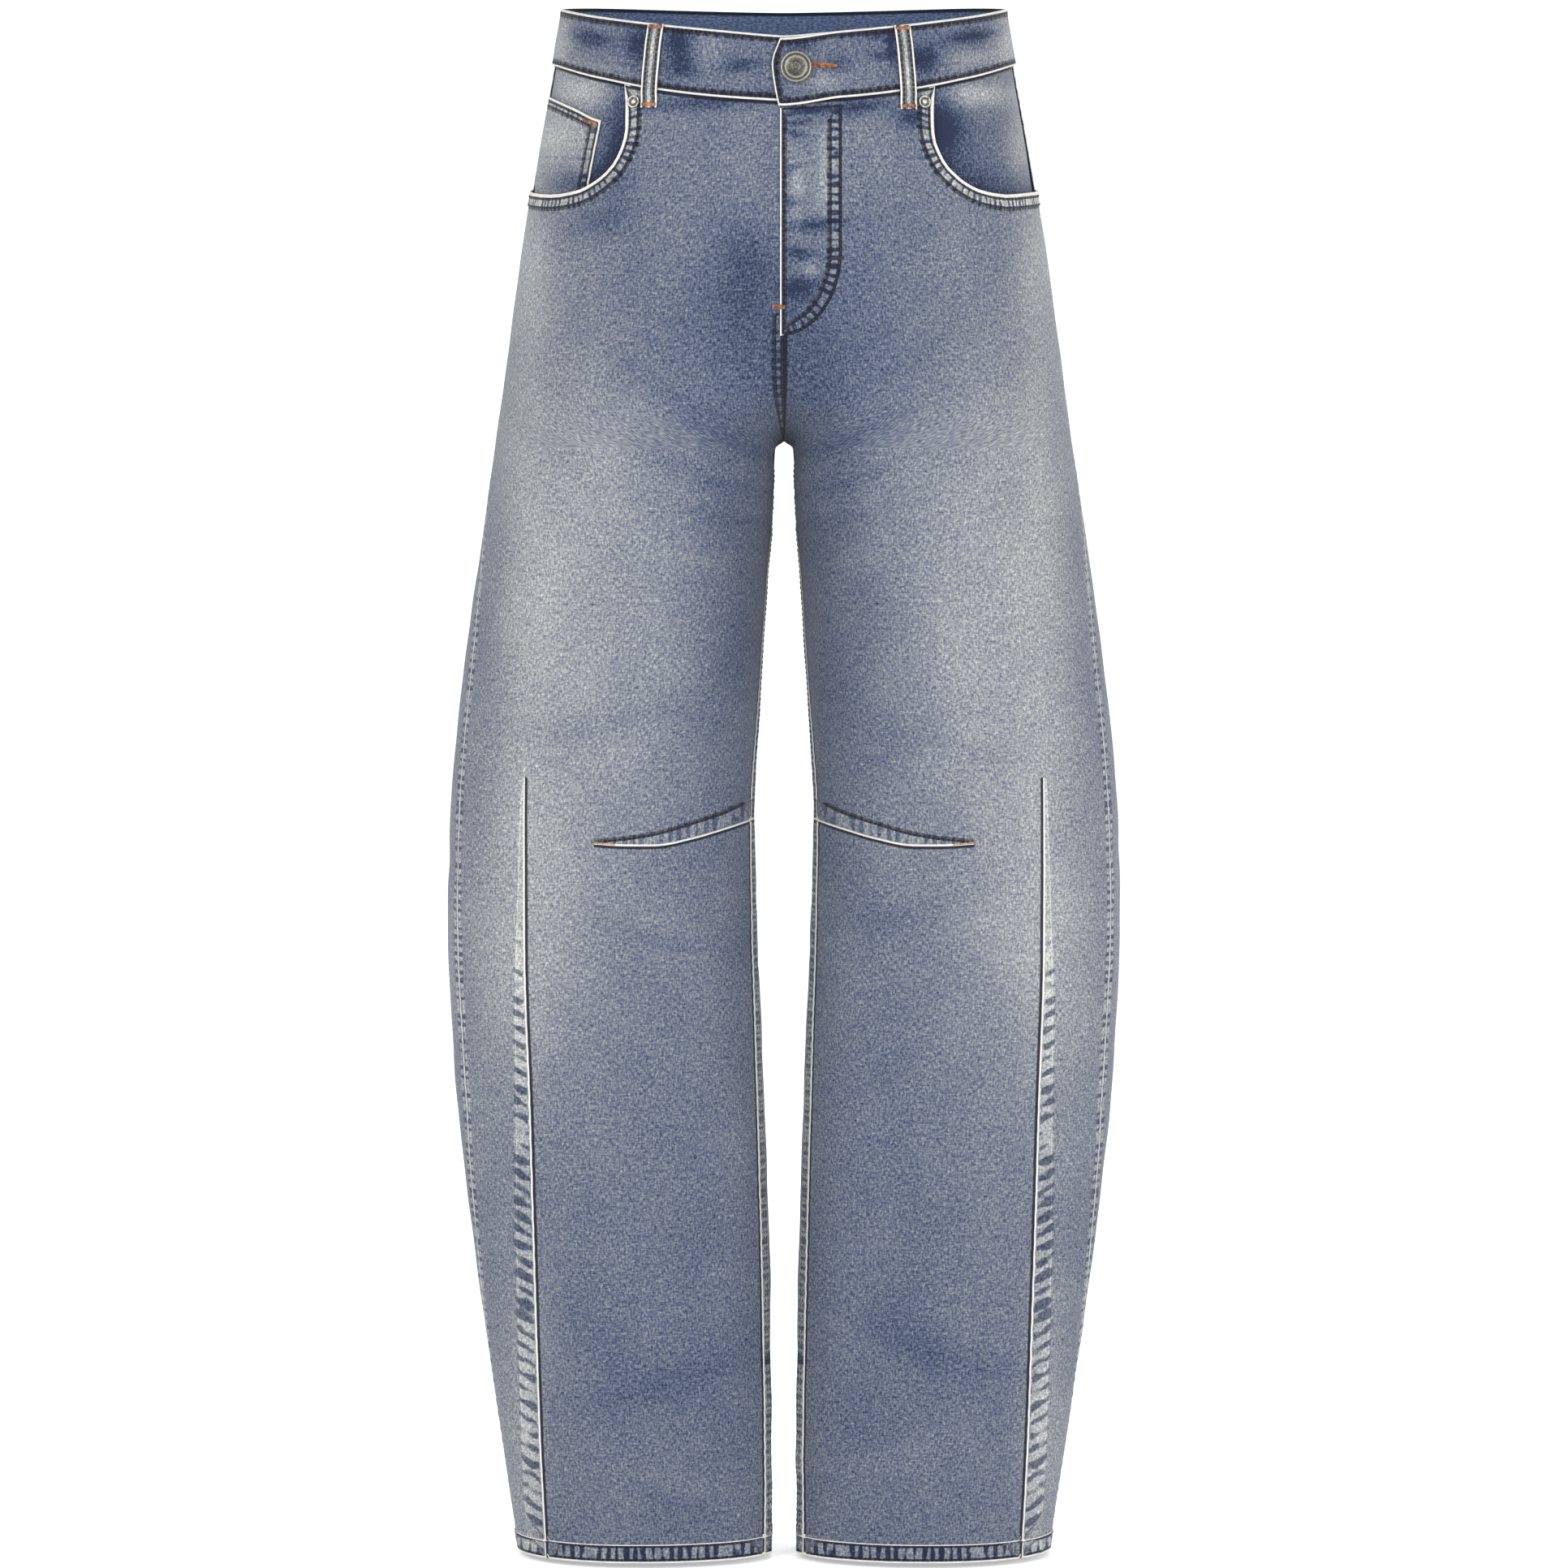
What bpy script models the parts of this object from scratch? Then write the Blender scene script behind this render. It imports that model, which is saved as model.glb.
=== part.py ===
"""Barrel-leg jeans, filled out and hollow: one closed wall of cloth for each piece that is cut and sewn.

Metres, +Z up. The origin is the middle of the waist opening. The front faces -Y, and +X is the wearer's left.
"""

import functools
import math

import bmesh
import bpy
from mathutils import Vector

# Thicknesses and gaps
WALL = 0.0015
SEAM_GAP = 0.0003
HALF_GAP = SEAM_GAP / 2
RAISED = 0.0008
BAND_OUT = 0.0010
FACING_WALL = 0.0012
PATCH_WALL = 0.0010
PLACKET_WALL = 0.0009
LOOP_WALL = 0.0016
PATCH_GAP = 0.0007
SEAT_GAP = 0.0014

# Heights: where the legs start to part, the crotch, the end of the panels' evenly spaced tops, and the hem
SPLIT = -0.165
CROTCH = -0.270
RULED_TO = -0.150
HEM_TOP = -1.0140
HEM = -1.0260

# A panel's usual width, which turns a length into a share of it
PANEL_WIDTH = 0.205

# Widths of the sewn bands
POCKET_BAND = 0.0095
FELL_BAND = 0.0078
LOOP_WIDTH = 0.0110
POCKET_HEM = 0.0130

# One leg from above, at heights z: how far out and in it reaches from the middle of the garment,
# how deep it is in front of and behind its middle, where that middle is, and how square it is.
SECTIONS = (
    # z      outer   inner   front   back    middle  square
    (+0.030, 0.1470, 0.0000, 0.0970, 0.1030, 0.0000, 2.30),
    (-0.017, 0.1548, 0.0000, 0.1030, 0.1110, 0.0000, 2.30),
    (-0.082, 0.1667, 0.0000, 0.1100, 0.1260, 0.0000, 2.30),
    (-0.147, 0.1773, 0.0000, 0.1150, 0.1360, 0.0010, 2.30),
    (-0.213, 0.1865, 0.0000, 0.1180, 0.1340, 0.0040, 2.28),
    (-0.270, 0.1946, 0.0000, 0.1160, 0.1220, 0.0080, 2.25),
    (-0.300, 0.1990, 0.0035, 0.1130, 0.1160, 0.0075, 2.22),
    (-0.340, 0.2048, 0.0096, 0.1090, 0.1090, 0.0055, 2.20),
    (-0.421, 0.2164, 0.0153, 0.0990, 0.0980, 0.0020, 2.20),
    (-0.520, 0.2261, 0.0199, 0.0890, 0.0870, 0.0000, 2.20),
    (-0.587, 0.2281, 0.0182, 0.0830, 0.0810, 0.0000, 2.20),
    (-0.687, 0.2246, 0.0144, 0.0760, 0.0750, 0.0020, 2.20),
    (-0.809, 0.2124, 0.0102, 0.0680, 0.0680, 0.0040, 2.20),
    (-0.920, 0.1974, 0.0070, 0.0620, 0.0620, 0.0050, 2.20),
    (-1.035, 0.1805, 0.0043, 0.0580, 0.0580, 0.0050, 2.20),
)

# The least half gap between the legs, which makes the flat top of the crotch. Where it is open, a wall's
# inside is its thickness further in.
GAP_OPEN = 0.0040
GAP = (
    # z      half gap
    (-0.2695, HALF_GAP),
    (-0.2725, 0.0050),
    (-0.2780, 0.0062),
    (-0.3000, 0.0074),
    (-0.3400, 0.0092),
)

# Where the seams run round a leg, in degrees from its outer side, forwards, at heights z
SIDE_SEAM = (
    # z      degrees
    (-0.250, -4.0),
    (-0.290, 1.0),
    (-0.321, 9.0),
    (-0.353, 16.0),
    (-0.407, 21.5),
    (-0.520, 23.5),
    (-0.707, 24.0),
    (-0.760, 20.0),
    (-0.835, 14.5),
    (-0.900, 7.0),
    (-0.960, 3.0),
    (-1.035, 1.0),
)
INSEAM = (
    # z      degrees
    (-0.270, 180.0),
    (-0.420, 178.0),
    (-0.530, 172.0),
    (-0.957, 166.5),
    (-1.035, 163.0),
)

# The waistband's edges, by the turn in degrees from the middle of the front to the middle of the back
WAIST = (
    # turn   top      seam
    (0.0, 0.0005, -0.0425),
    (14.0, 0.0044, -0.0395),
    (30.0, 0.0084, -0.0345),
    (48.0, 0.0129, -0.0275),
    (76.0, 0.0188, -0.0188),
    (90.0, 0.0205, -0.0172),
    (130.0, 0.0225, -0.0175),
    (180.0, 0.0205, -0.0200),
)
WAIST_TOP, WAIST_SEAM = 1, 2

# The scoop of the front pocket, seen from the front, from the waist seam to the side seam
SCOOP = (
    # x      z
    (0.1020, -0.0330),
    (0.1010, -0.0480),
    (0.1015, -0.0640),
    (0.1075, -0.0805),
    (0.1190, -0.0930),
    (0.1335, -0.1008),
    (0.1500, -0.1036),
    (0.1640, -0.1025),
)
SCOOP_END = -0.1005
FRONT_SHIFT = -0.0030

# The seam of the long dart down the outer front of each leg, and the width of its stitched fold
SIDE_DART = (
    # z      x       width
    (-0.478, 0.1717, 0.0012),
    (-0.490, 0.1725, 0.0020),
    (-0.560, 0.1729, 0.0046),
    (-0.612, 0.1728, 0.0064),
    (-0.711, 0.1697, 0.0100),
    (-0.839, 0.1669, 0.0128),
    (-0.928, 0.1649, 0.0130),
    (-1.035, 0.1605, 0.0135),
)
DART_X, DART_WIDTH = 1, 2
DART_TIP = -0.478
DART_FREE = -0.400

# The short dart across the inner knee: its stitched line above and its seam below
KNEE_DART = (
    # x      above    below
    (0.0000, -0.5050, -0.5215),
    (0.0240, -0.5098, -0.5242),
    (0.0409, -0.5154, -0.5275),
    (0.0606, -0.5207, -0.5320),
    (0.0861, -0.5274, -0.5360),
    (0.1088, -0.5306, -0.5356),
    (0.1300, -0.5320, -0.5342),
    (0.1600, -0.5290, -0.5390),
    (0.2300, -0.5240, -0.5450),
)
KNEE_DART_TIP = 0.1300
KNEE_DART_MIDDLE = -0.5270
ABOVE, BELOW = 1, 2

# The yoke's lower seam: its height at the side and at the middle of the back, and how much of its fall curves
YOKE_SIDE = -0.0560
YOKE_MIDDLE = -0.0920
YOKE_CURVE = 0.45

# The largest soft folds: which side (+1 the wearer's left), where, how long, how wide and how deep
FOLDS = (
    # side  z      degrees  length  width  depth
    (+1, -0.330, 118.0, 0.070, 11.0, +0.0022),
    (-1, -0.325, 122.0, 0.080, 12.0, +0.0020),
    (+1, -0.640, 105.0, 0.150, 16.0, -0.0026),
    (-1, -0.620, 100.0, 0.160, 15.0, -0.0024),
    (+1, -0.800, 70.0, 0.170, 13.0, +0.0024),
    (-1, -0.830, 74.0, 0.150, 14.0, +0.0026),
    (+1, -0.860, 120.0, 0.160, 14.0, -0.0026),
    (-1, -0.850, 116.0, 0.170, 15.0, -0.0024),
    (+1, -0.330, -128.0, 0.070, 12.0, -0.0040),
    (-1, -0.335, -124.0, 0.080, 13.0, -0.0038),
    (+1, -0.390, -100.0, 0.060, 20.0, +0.0030),
    (-1, -0.385, -104.0, 0.065, 18.0, +0.0030),
    (+1, -0.570, -110.0, 0.050, 26.0, -0.0036),
    (-1, -0.580, -106.0, 0.050, 28.0, -0.0034),
    (+1, -0.800, -80.0, 0.180, 16.0, -0.0030),
    (-1, -0.790, -84.0, 0.170, 15.0, -0.0030),
    (+1, -0.860, -125.0, 0.160, 15.0, +0.0026),
    (-1, -0.850, -120.0, 0.170, 15.0, +0.0028),
)

COLOURS = {
    "denim": (0.16, 0.21, 0.33, 1.0),
    "denim_light": (0.24, 0.29, 0.40, 1.0),
    "denim_dark": (0.06, 0.09, 0.19, 1.0),
    "metal": (0.42, 0.42, 0.38, 1.0),
}


def smoothstep(value):
    """0 before 0, 1 after 1, and an even S between them."""
    value = min(1.0, max(0.0, value))
    return value * value * (3 - 2 * value)


@functools.lru_cache(maxsize=None)
def slopes(table, column):
    """The slope at each row of a table, so that the curve through its rows never overshoots them."""
    rows = len(table)
    steps = [table[k + 1][0] - table[k][0] for k in range(rows - 1)]
    rises = [(table[k + 1][column] - table[k][column]) / steps[k] for k in range(rows - 1)]
    found = [rises[0]]
    for before, after, near, far in zip(rises, rises[1:], steps, steps[1:]):
        if before * after <= 0:
            found.append(0.0)
        else:
            first, second = 2 * far + near, far + 2 * near
            found.append((first + second) / (first / before + second / after))
    found.append(rises[-1])
    return found


def along(table, column, place):
    """A column's value at a place along the table's first column."""
    falling = table[0][0] > table[-1][0]
    low, high = (table[-1][0], table[0][0]) if falling else (table[0][0], table[-1][0])
    place = min(high, max(low, place))
    row = 0
    while row < len(table) - 2 and (table[row + 1][0] >= place if falling else table[row + 1][0] <= place):
        row += 1
    step = table[row + 1][0] - table[row][0]
    t = (place - table[row][0]) / step
    start, end = slopes(table, column)[row], slopes(table, column)[row + 1]
    return (
        (2 * t**3 - 3 * t**2 + 1) * table[row][column]
        + (t**3 - 2 * t**2 + t) * step * start
        + (3 * t**2 - 2 * t**3) * table[row + 1][column]
        + (t**3 - t**2) * step * end
    )


@functools.lru_cache(maxsize=None)
def section(z):
    """A leg's half width, middle x, front depth, back depth, middle y and squareness at a height."""
    outer, inner, front, back, middle, square = (along(SECTIONS, column, z) for column in range(1, 7))
    inner -= outer * (1.0 - smoothstep((SPLIT - z) / (SPLIT - CROTCH)))
    half = (outer - inner) / 2
    return half, inner + half, front, back, middle, square


def fold(side, angle, z):
    """How far the soft folds move the cloth out."""
    total = 0.0
    for on, height, degrees, length, width, depth in FOLDS:
        if on == side:
            across = (math.degrees(angle) - degrees) / width
            total += depth * math.exp(-(((z - height) / length) ** 2) - across**2)
    return total


def skin(side, angle, z, out=0.0):
    """A point of the garment's outside, or moved out from it, round one leg from its outer side."""
    half, mid, front, back, middle, square = section(z)
    out += fold(side, angle, z)
    cosine, sine = math.cos(angle), math.sin(angle)
    x = mid + (half + out) * math.copysign(abs(cosine) ** (2 / square), cosine)
    depth = front if sine > 0 else back
    y = middle - math.copysign((depth + out) * abs(sine) ** (2 / square), sine)
    least = along(GAP, 1, z)
    least -= out * min(1.0, (least - HALF_GAP) / GAP_OPEN)
    return Vector((side * max(x, least), y, z))


def inner_angle(z, out, forwards):
    """Where a panel ends: at the middle of the garment above the crotch, and at the inseam below it."""
    half, mid, _front, _back, _middle, square = section(z)
    inseam = math.radians(along(INSEAM, 1, z))
    inseam = inseam if forwards else 2 * math.pi - inseam
    if z < CROTCH:
        return inseam
    reach = -mid / (half + out)
    cosine = math.copysign(min(1.0, abs(reach)) ** (square / 2), reach)
    return min(inseam, math.acos(cosine))


OUTLINE_STEPS = 96


@functools.lru_cache(maxsize=None)
def outline(side, forwards, z, out):
    """Angles from the side seam to the inner edge of a front or back panel, and the length run at each."""
    start = math.radians(along(SIDE_SEAM, 1, z))
    end = inner_angle(z, out, forwards) * (1 if forwards else -1)
    angles = [start + (end - start) * k / OUTLINE_STEPS for k in range(OUTLINE_STEPS + 1)]
    points = [skin(side, angle, z, out) for angle in angles]
    run = [0.0]
    for before, after in zip(points, points[1:]):
        run.append(run[-1] + (after - before).length)
    return angles, run


def length_at(side, forwards, z):
    """A panel's width at a height, along the cloth."""
    return outline(side, forwards, z, 0.0)[1][-1]


def angle_at(side, forwards, z, share, out=0.0):
    """The angle at a share of a panel's width, from 0 at its side seam to 1 at its inner edge."""
    angles, run = outline(side, forwards, z, out)
    place = HALF_GAP + (run[-1] - SEAM_GAP) * share
    low, high = 0, len(run) - 1
    while high - low > 1:
        half = (low + high) // 2
        if run[half] > place:
            high = half
        else:
            low = half
    between = (place - run[low]) / max(1e-9, run[high] - run[low])
    return angles[low] + (angles[high] - angles[low]) * between


def share_of_angle(side, forwards, z, angle):
    """The share of a panel's width at an angle."""
    angles, run = outline(side, forwards, z, 0.0)
    step = (angle - angles[0]) / (angles[1] - angles[0])
    low = min(len(run) - 2, max(0, int(step)))
    place = run[low] + (run[low + 1] - run[low]) * (step - low)
    return (place - HALF_GAP) / (run[-1] - SEAM_GAP)


def share_of_x(side, z, x, forwards=True):
    """The share of a panel's width that is seen at x from the front or from behind."""
    half, mid, _front, _back, _middle, square = section(z)
    reach = (x - mid) / half
    angle = math.acos(math.copysign(min(1.0, abs(reach)) ** (square / 2), reach))
    return share_of_angle(side, forwards, z, angle if forwards else -angle)


def on_panel(side, forwards, share, z, out=0.0, layer=0.0):
    """A point of a panel's layer, which may be raised from it."""
    angle = angle_at(side, forwards, z, share, layer)
    return skin(side, angle, z, layer + out)


def turn_angle(turn):
    """The angle round the half at +X for a turn in degrees from the middle of the front."""
    return math.radians(90.0 - turn)


def turn_of_share(forwards, share, z):
    """The turn in degrees at a share of a panel's width, for the waistband's edges."""
    return 90.0 - math.degrees(angle_at(+1, forwards, z, share))


def waist_seam(forwards, share):
    """The height of the seam under the waistband at a share of a panel's width."""
    near = along(WAIST, WAIST_SEAM, 90.0)
    near = along(WAIST, WAIST_SEAM, turn_of_share(forwards, share, near))
    return along(WAIST, WAIST_SEAM, turn_of_share(forwards, share, near)) - HALF_GAP


def mix(start, end, share):
    return start + (end - start) * share


def resampled(points, count):
    """Points evenly along a run of (share, z) points."""
    run = [0.0]
    for (share, z), (next_share, next_z) in zip(points, points[1:]):
        run.append(run[-1] + math.hypot((next_share - share) * PANEL_WIDTH, next_z - z))
    found = []
    for k in range(count):
        place = run[-1] * k / (count - 1)
        row = max(0, min(len(run) - 2, sum(1 for at in run if at <= place) - 1))
        between = (place - run[row]) / (run[row + 1] - run[row])
        found.append(tuple(mix(a, b, between) for a, b in zip(points[row], points[row + 1])))
    return found


def material(name, colour, metallic=0.0, roughness=0.85):
    made = bpy.data.materials.new(name)
    made.use_nodes = True
    shader = made.node_tree.nodes["Principled BSDF"]
    shader.inputs["Base Color"].default_value = COLOURS[colour]
    shader.inputs["Metallic"].default_value = metallic
    shader.inputs["Roughness"].default_value = roughness
    made.diffuse_color = COLOURS[colour]
    return made


def finish(name, shape, colour):
    """An object in the garment's collection from a closed bmesh, with its faces outwards."""
    if shape.calc_volume(signed=True) < 0:
        bmesh.ops.reverse_faces(shape, faces=shape.faces)
    mesh = bpy.data.meshes.new(name)
    shape.to_mesh(mesh)
    shape.free()
    mesh.materials.append(material(name + "_cloth", colour))
    mesh.shade_smooth()
    mesh.set_sharp_from_angle(angle=math.radians(40))
    made = bpy.data.objects.new(name, mesh)
    garment.objects.link(made)


def wall(name, outside, inside, colour):
    """A closed wall of cloth: a flat slab of unit squares, whose points are then put in their places."""
    rows, columns = len(outside), len(outside[0])
    slab = bmesh.new()
    bmesh.ops.create_grid(slab, x_segments=columns - 1, y_segments=rows - 1, size=0.5)
    bmesh.ops.scale(slab, vec=(columns - 1, rows - 1, 1), verts=slab.verts)
    bmesh.ops.translate(slab, vec=((columns - 1) / 2, (rows - 1) / 2, 0), verts=slab.verts)
    copied = bmesh.ops.extrude_face_region(slab, geom=slab.faces[:])
    lifted = [item for item in copied["geom"] if isinstance(item, bmesh.types.BMVert)]
    bmesh.ops.translate(slab, vec=(0, 0, 1), verts=lifted)
    bmesh.ops.recalc_face_normals(slab, faces=slab.faces)
    bmesh.ops.triangulate(slab, faces=slab.faces[:], quad_method="FIXED")
    for vert in slab.verts:
        column, row, layer = (round(value) for value in vert.co)
        vert.co = (outside if layer else inside)[row][column]
    finish(name, slab, colour)


def laid_out(side, forwards, grid, raised=None):
    """The outside and inside points of a panel from its (share, z) grid. raised gives each point's relief."""
    outside, inside = [], []
    for row, places in enumerate(grid):
        outside.append([])
        inside.append([])
        for column, (share, z) in enumerate(places):
            lift = raised[row][column] if raised else 0.0
            outside[-1].append(on_panel(side, forwards, share, z, lift))
            inside[-1].append(on_panel(side, forwards, share, z, 0.0, -WALL))
    return outside, inside


# Rows of a leg panel: shares of its top, then heights, closer together towards the crotch
FRONT_TOP_PARTS = (0.06, 0.36, 0.68, 1.0)
BACK_TOP_PARTS = (0.0, 0.35, 0.7, 1.0)
CROTCH_ROWS = [SPLIT - (SPLIT - CROTCH) * math.sin(math.radians(10 * k)) for k in range(10)]
THIGH_ROWS = [-0.2725, -0.2780, -0.300, -0.330, -0.365, -0.400, -0.440, -0.478]
BACK_KNEE_ROWS = [-0.505, -0.535]
CALF_TOP, CALF_STEP = -0.575, 0.043
CALF_ROWS = [CALF_TOP - CALF_STEP * k for k in range(11)] + [HEM_TOP, HEM]


def side_name(side):
    return "left" if side > 0 else "right"


# The front panel's columns, from its side seam to its inner edge. Four of them follow the side dart.
EVEN_COLUMNS = (0.0, 0.04, 0.16, 0.22, 0.34, 0.46, 0.58, 0.70, 0.82, 0.93, 1.0)
DART_FOLD, DART_SEAM, DART_LOW, LAST = 1, 2, 3, len(EVEN_COLUMNS) - 1
DART_STEP = 0.0005

# Over what height the felled inner seam and the side dart rise from the cloth, and where the first starts
FELL_TOP = CROTCH - 0.010
FELL_EASE = 0.020
DART_EASE = 0.120


def front_share(side, column, z):
    """Where a column of the front panel is at a height."""
    width = length_at(side, True, z)
    even = EVEN_COLUMNS[column]
    if column == LAST - 1:
        return 1.0 - FELL_BAND / width
    hold = smoothstep((DART_FREE - z) / (DART_FREE - DART_TIP))
    if not hold or column in (0, LAST):
        return even
    seam = along(SIDE_DART, DART_X, z)
    if column == DART_FOLD:
        locked = share_of_x(side, z, seam + along(SIDE_DART, DART_WIDTH, z))
    elif column == DART_SEAM:
        locked = share_of_x(side, z, seam)
    else:
        first = share_of_x(side, z, seam) + DART_STEP / width
        locked = mix(first, 1.0 - FELL_BAND / width, (column - DART_LOW) / (LAST - 1 - DART_LOW))
    return mix(even, locked, hold)


def scoop_points(side):
    """The pocket's scoop as (share, z), from the waist seam to the side seam."""
    points = [(share_of_x(side, z, x + side * FRONT_SHIFT), z) for x, z in SCOOP]
    points[0] = (points[0][0], waist_seam(True, points[0][0]))
    return points + [(0.0, SCOOP_END)]


SCOOP_COLUMNS = 6
WAIST_LEVEL = -0.040


def front_top(side):
    """The top of the front panel as (share, z): up the scoop from the side seam, then along the waist."""
    scoop = resampled(scoop_points(side)[::-1], SCOOP_COLUMNS + 1)
    corner = scoop[-1][0]
    columns = len(EVEN_COLUMNS) - SCOOP_COLUMNS
    waist = [mix(corner, 1.0, k / (columns - 1)) for k in range(1, columns)]
    waist[-2] = 1.0 - FELL_BAND / length_at(side, True, WAIST_LEVEL)
    return scoop + [(share, waist_seam(True, share)) for share in waist]


def below_top(top, depth):
    """The line that runs at a depth below the front panel's top: beside the scoop, and under the waist."""
    lower = []
    for column, (share, z) in enumerate(top):
        if column > SCOOP_COLUMNS:
            lower.append((share, z - depth))
            continue
        before = top[max(0, column - 1)]
        after = top[min(SCOOP_COLUMNS, column + 1)]
        across, up = (after[0] - before[0]) * PANEL_WIDTH, after[1] - before[1]
        size = math.hypot(across, up)
        if column == 0:
            across, up, size = 1.0, 0.0, 1.0
        down = depth if column == SCOOP_COLUMNS else 0.0
        lower.append((share + depth * up / size / PANEL_WIDTH, z - depth * across / size - down))
    return lower


def front_panel(side):
    """One front: scooped at the pocket, with both darts, the felled inner seam and the hem raised."""
    top = front_top(side)
    edge = below_top(top, POCKET_BAND)
    grid, raised = [top, edge], [[RAISED] * (LAST + 1), [RAISED] * (LAST + 1)]
    for row in raised:
        row[SCOOP_COLUMNS + 1 :] = [0.0] * (LAST - SCOOP_COLUMNS)
    lower = [(front_share(side, column, RULED_TO), RULED_TO) for column in range(LAST + 1)]
    for part in FRONT_TOP_PARTS:
        grid.append([tuple(mix(a, b, part) for a, b in zip(*ends)) for ends in zip(edge, lower)])
        raised.append([0.0] * (LAST + 1))

    def add(heights, relief):
        places = []
        for column in range(LAST + 1):
            z = heights(column) if callable(heights) else heights
            places.append((front_share(side, column, z), z))
        grid.append(places)
        raised.append([relief(column, places[column][1]) for column in range(LAST + 1)])

    def sewn(column, z):
        """The felled inner seam and the side dart's fold."""
        if column >= LAST - 1 and z < SPLIT:
            return RAISED * smoothstep((FELL_TOP - z) / FELL_EASE)
        if column in (DART_FOLD, DART_SEAM) and z < DART_TIP:
            return RAISED * smoothstep((DART_TIP - z) / DART_EASE)
        return 0.0

    def knee(line):
        def height(column):
            z = KNEE_DART_MIDDLE
            for _again in range(3):
                share = front_share(side, column, z)
                z = along(KNEE_DART, line, abs(on_panel(side, True, share, z).x))
            return z

        return height

    def knee_relief(column, z):
        x = abs(on_panel(side, True, front_share(side, column, z), z).x)
        return RAISED if x < KNEE_DART_TIP else sewn(column, z)

    for z in CROTCH_ROWS + THIGH_ROWS:
        add(z, sewn)
    above, below = knee(ABOVE), knee(BELOW)
    add(above, knee_relief)
    add(below, knee_relief)
    add(lambda column: below(column) - DART_STEP, sewn)
    for z in CALF_ROWS:
        add(z, lambda column, height: RAISED if height <= HEM_TOP else sewn(column, height))
    outside, inside = laid_out(side, True, grid, raised)
    wall("front_" + side_name(side), outside, inside, "denim")


# The patch pocket on each back panel: its sides' x at its top and at its foot, seen from behind, how far
# its top is below the yoke, how long its sides are, and how long it is at its point
BACK_POCKET_NEAR = (0.0290, 0.0380)
BACK_POCKET_FAR = (0.1510, 0.1450)
BACK_POCKET_TOP = 0.0180
BACK_POCKET_SIDES = 0.1200
BACK_POCKET_LENGTH = 0.1420
BACK_POCKET_LEVELS = (-0.1000, -0.2380)

# The back panel's columns, from its side seam to its inner edge. Some of them follow the pocket.
BACK_COLUMNS = 11
POCKET_FIRST, POCKET_LAST = 2, 8
POCKET_FOOT_ROWS = 6
BACK_FREE = -0.330


def back_share(side, column, z):
    """Where a column of the back panel or the yoke is at a height."""
    even = column / (BACK_COLUMNS - 1)
    if z < BACK_FREE:
        return even
    down = min(1.0, max(0.0, (BACK_POCKET_LEVELS[0] - z) / (BACK_POCKET_LEVELS[0] - BACK_POCKET_LEVELS[1])))
    far = share_of_x(side, z, mix(*BACK_POCKET_FAR, down), False)
    near = share_of_x(side, z, mix(*BACK_POCKET_NEAR, down), False)
    if column <= POCKET_FIRST:
        held = far * column / POCKET_FIRST
    elif column <= POCKET_LAST:
        held = mix(far, near, (column - POCKET_FIRST) / (POCKET_LAST - POCKET_FIRST))
    else:
        held = mix(near, 1.0, (column - POCKET_LAST) / (BACK_COLUMNS - 1 - POCKET_LAST))
    return mix(held, even, smoothstep((BACK_POCKET_LEVELS[1] - z) / (BACK_POCKET_LEVELS[1] - BACK_FREE)))


def yoke_seam(share):
    """The height of the yoke's lower seam, which dips to the middle of the back."""
    return mix(YOKE_SIDE, YOKE_MIDDLE, smoothstep(share) * YOKE_CURVE + share * (1.0 - YOKE_CURVE))


def back_row(side, height):
    """A row of (share, z) across a back panel or a yoke, at a height worked out from the share."""
    row = []
    for column in range(BACK_COLUMNS):
        share = back_share(side, column, height(column / (BACK_COLUMNS - 1)))
        row.append((share, height(share)))
    return row


def back_panel(side):
    """One back, from the yoke to the hem, and the patch pocket that lies on it."""
    grid = []
    for part in BACK_TOP_PARTS:
        grid.append(back_row(side, lambda share: mix(yoke_seam(share) - HALF_GAP, RULED_TO, part)))
    for z in CROTCH_ROWS + THIGH_ROWS + BACK_KNEE_ROWS + CALF_ROWS:
        grid.append(back_row(side, lambda share: z))
    raised = [[RAISED if z <= HEM_TOP else 0.0 for _share, z in row] for row in grid]
    outside, inside = laid_out(side, False, grid, raised)
    wall("back_" + side_name(side), outside, inside, "denim")
    back_pocket(side, outside)


def yoke(side):
    """The shaped piece between the waistband and the back panel."""
    grid = []
    for part in (0.0, 0.5, 1.0):
        grid.append(
            back_row(side, lambda share: mix(waist_seam(False, share), yoke_seam(share) + HALF_GAP, part))
        )
    outside, inside = laid_out(side, False, grid)
    wall("yoke_" + side_name(side), outside, inside, "denim")


def on_column(points, column, z):
    """The point at a height on one column of a panel's own points."""
    row = 0
    while row < len(points) - 2 and points[row + 1][column].z > z:
        row += 1
    above, below = points[row][column], points[row + 1][column]
    return above.lerp(below, (above.z - z) / (above.z - below.z))


def patch(points, columns, heights, raised, gaps, thick):
    """The outside and inside of a piece that lies on a panel, on some of its columns."""
    outside, inside = [], []
    for row in range(len(heights[0])):
        outside.append([])
        inside.append([])
        for column, height in zip(columns, heights):
            place = on_column(points, column, height[row])
            before = on_column(points, max(columns[0], column - 1), height[row])
            after = on_column(points, min(columns[-1], column + 1), height[row])
            out = Vector((after.y - before.y, before.x - after.x, 0)).normalized()
            if out.dot(Vector((place.x, place.y, 0))) < 0:
                out = -out
            inside[-1].append(place + out * gaps[row])
            outside[-1].append(place + out * (gaps[row] + thick + raised[row]))
    return outside, inside


def on_row(z, step):
    """A height moved to the panel's own row, where one is near, so that the patch follows its ridges."""
    nearest = min(CROTCH_ROWS, key=lambda row: abs(row - z))
    return nearest if abs(nearest - z) < step / 2 else z


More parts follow.
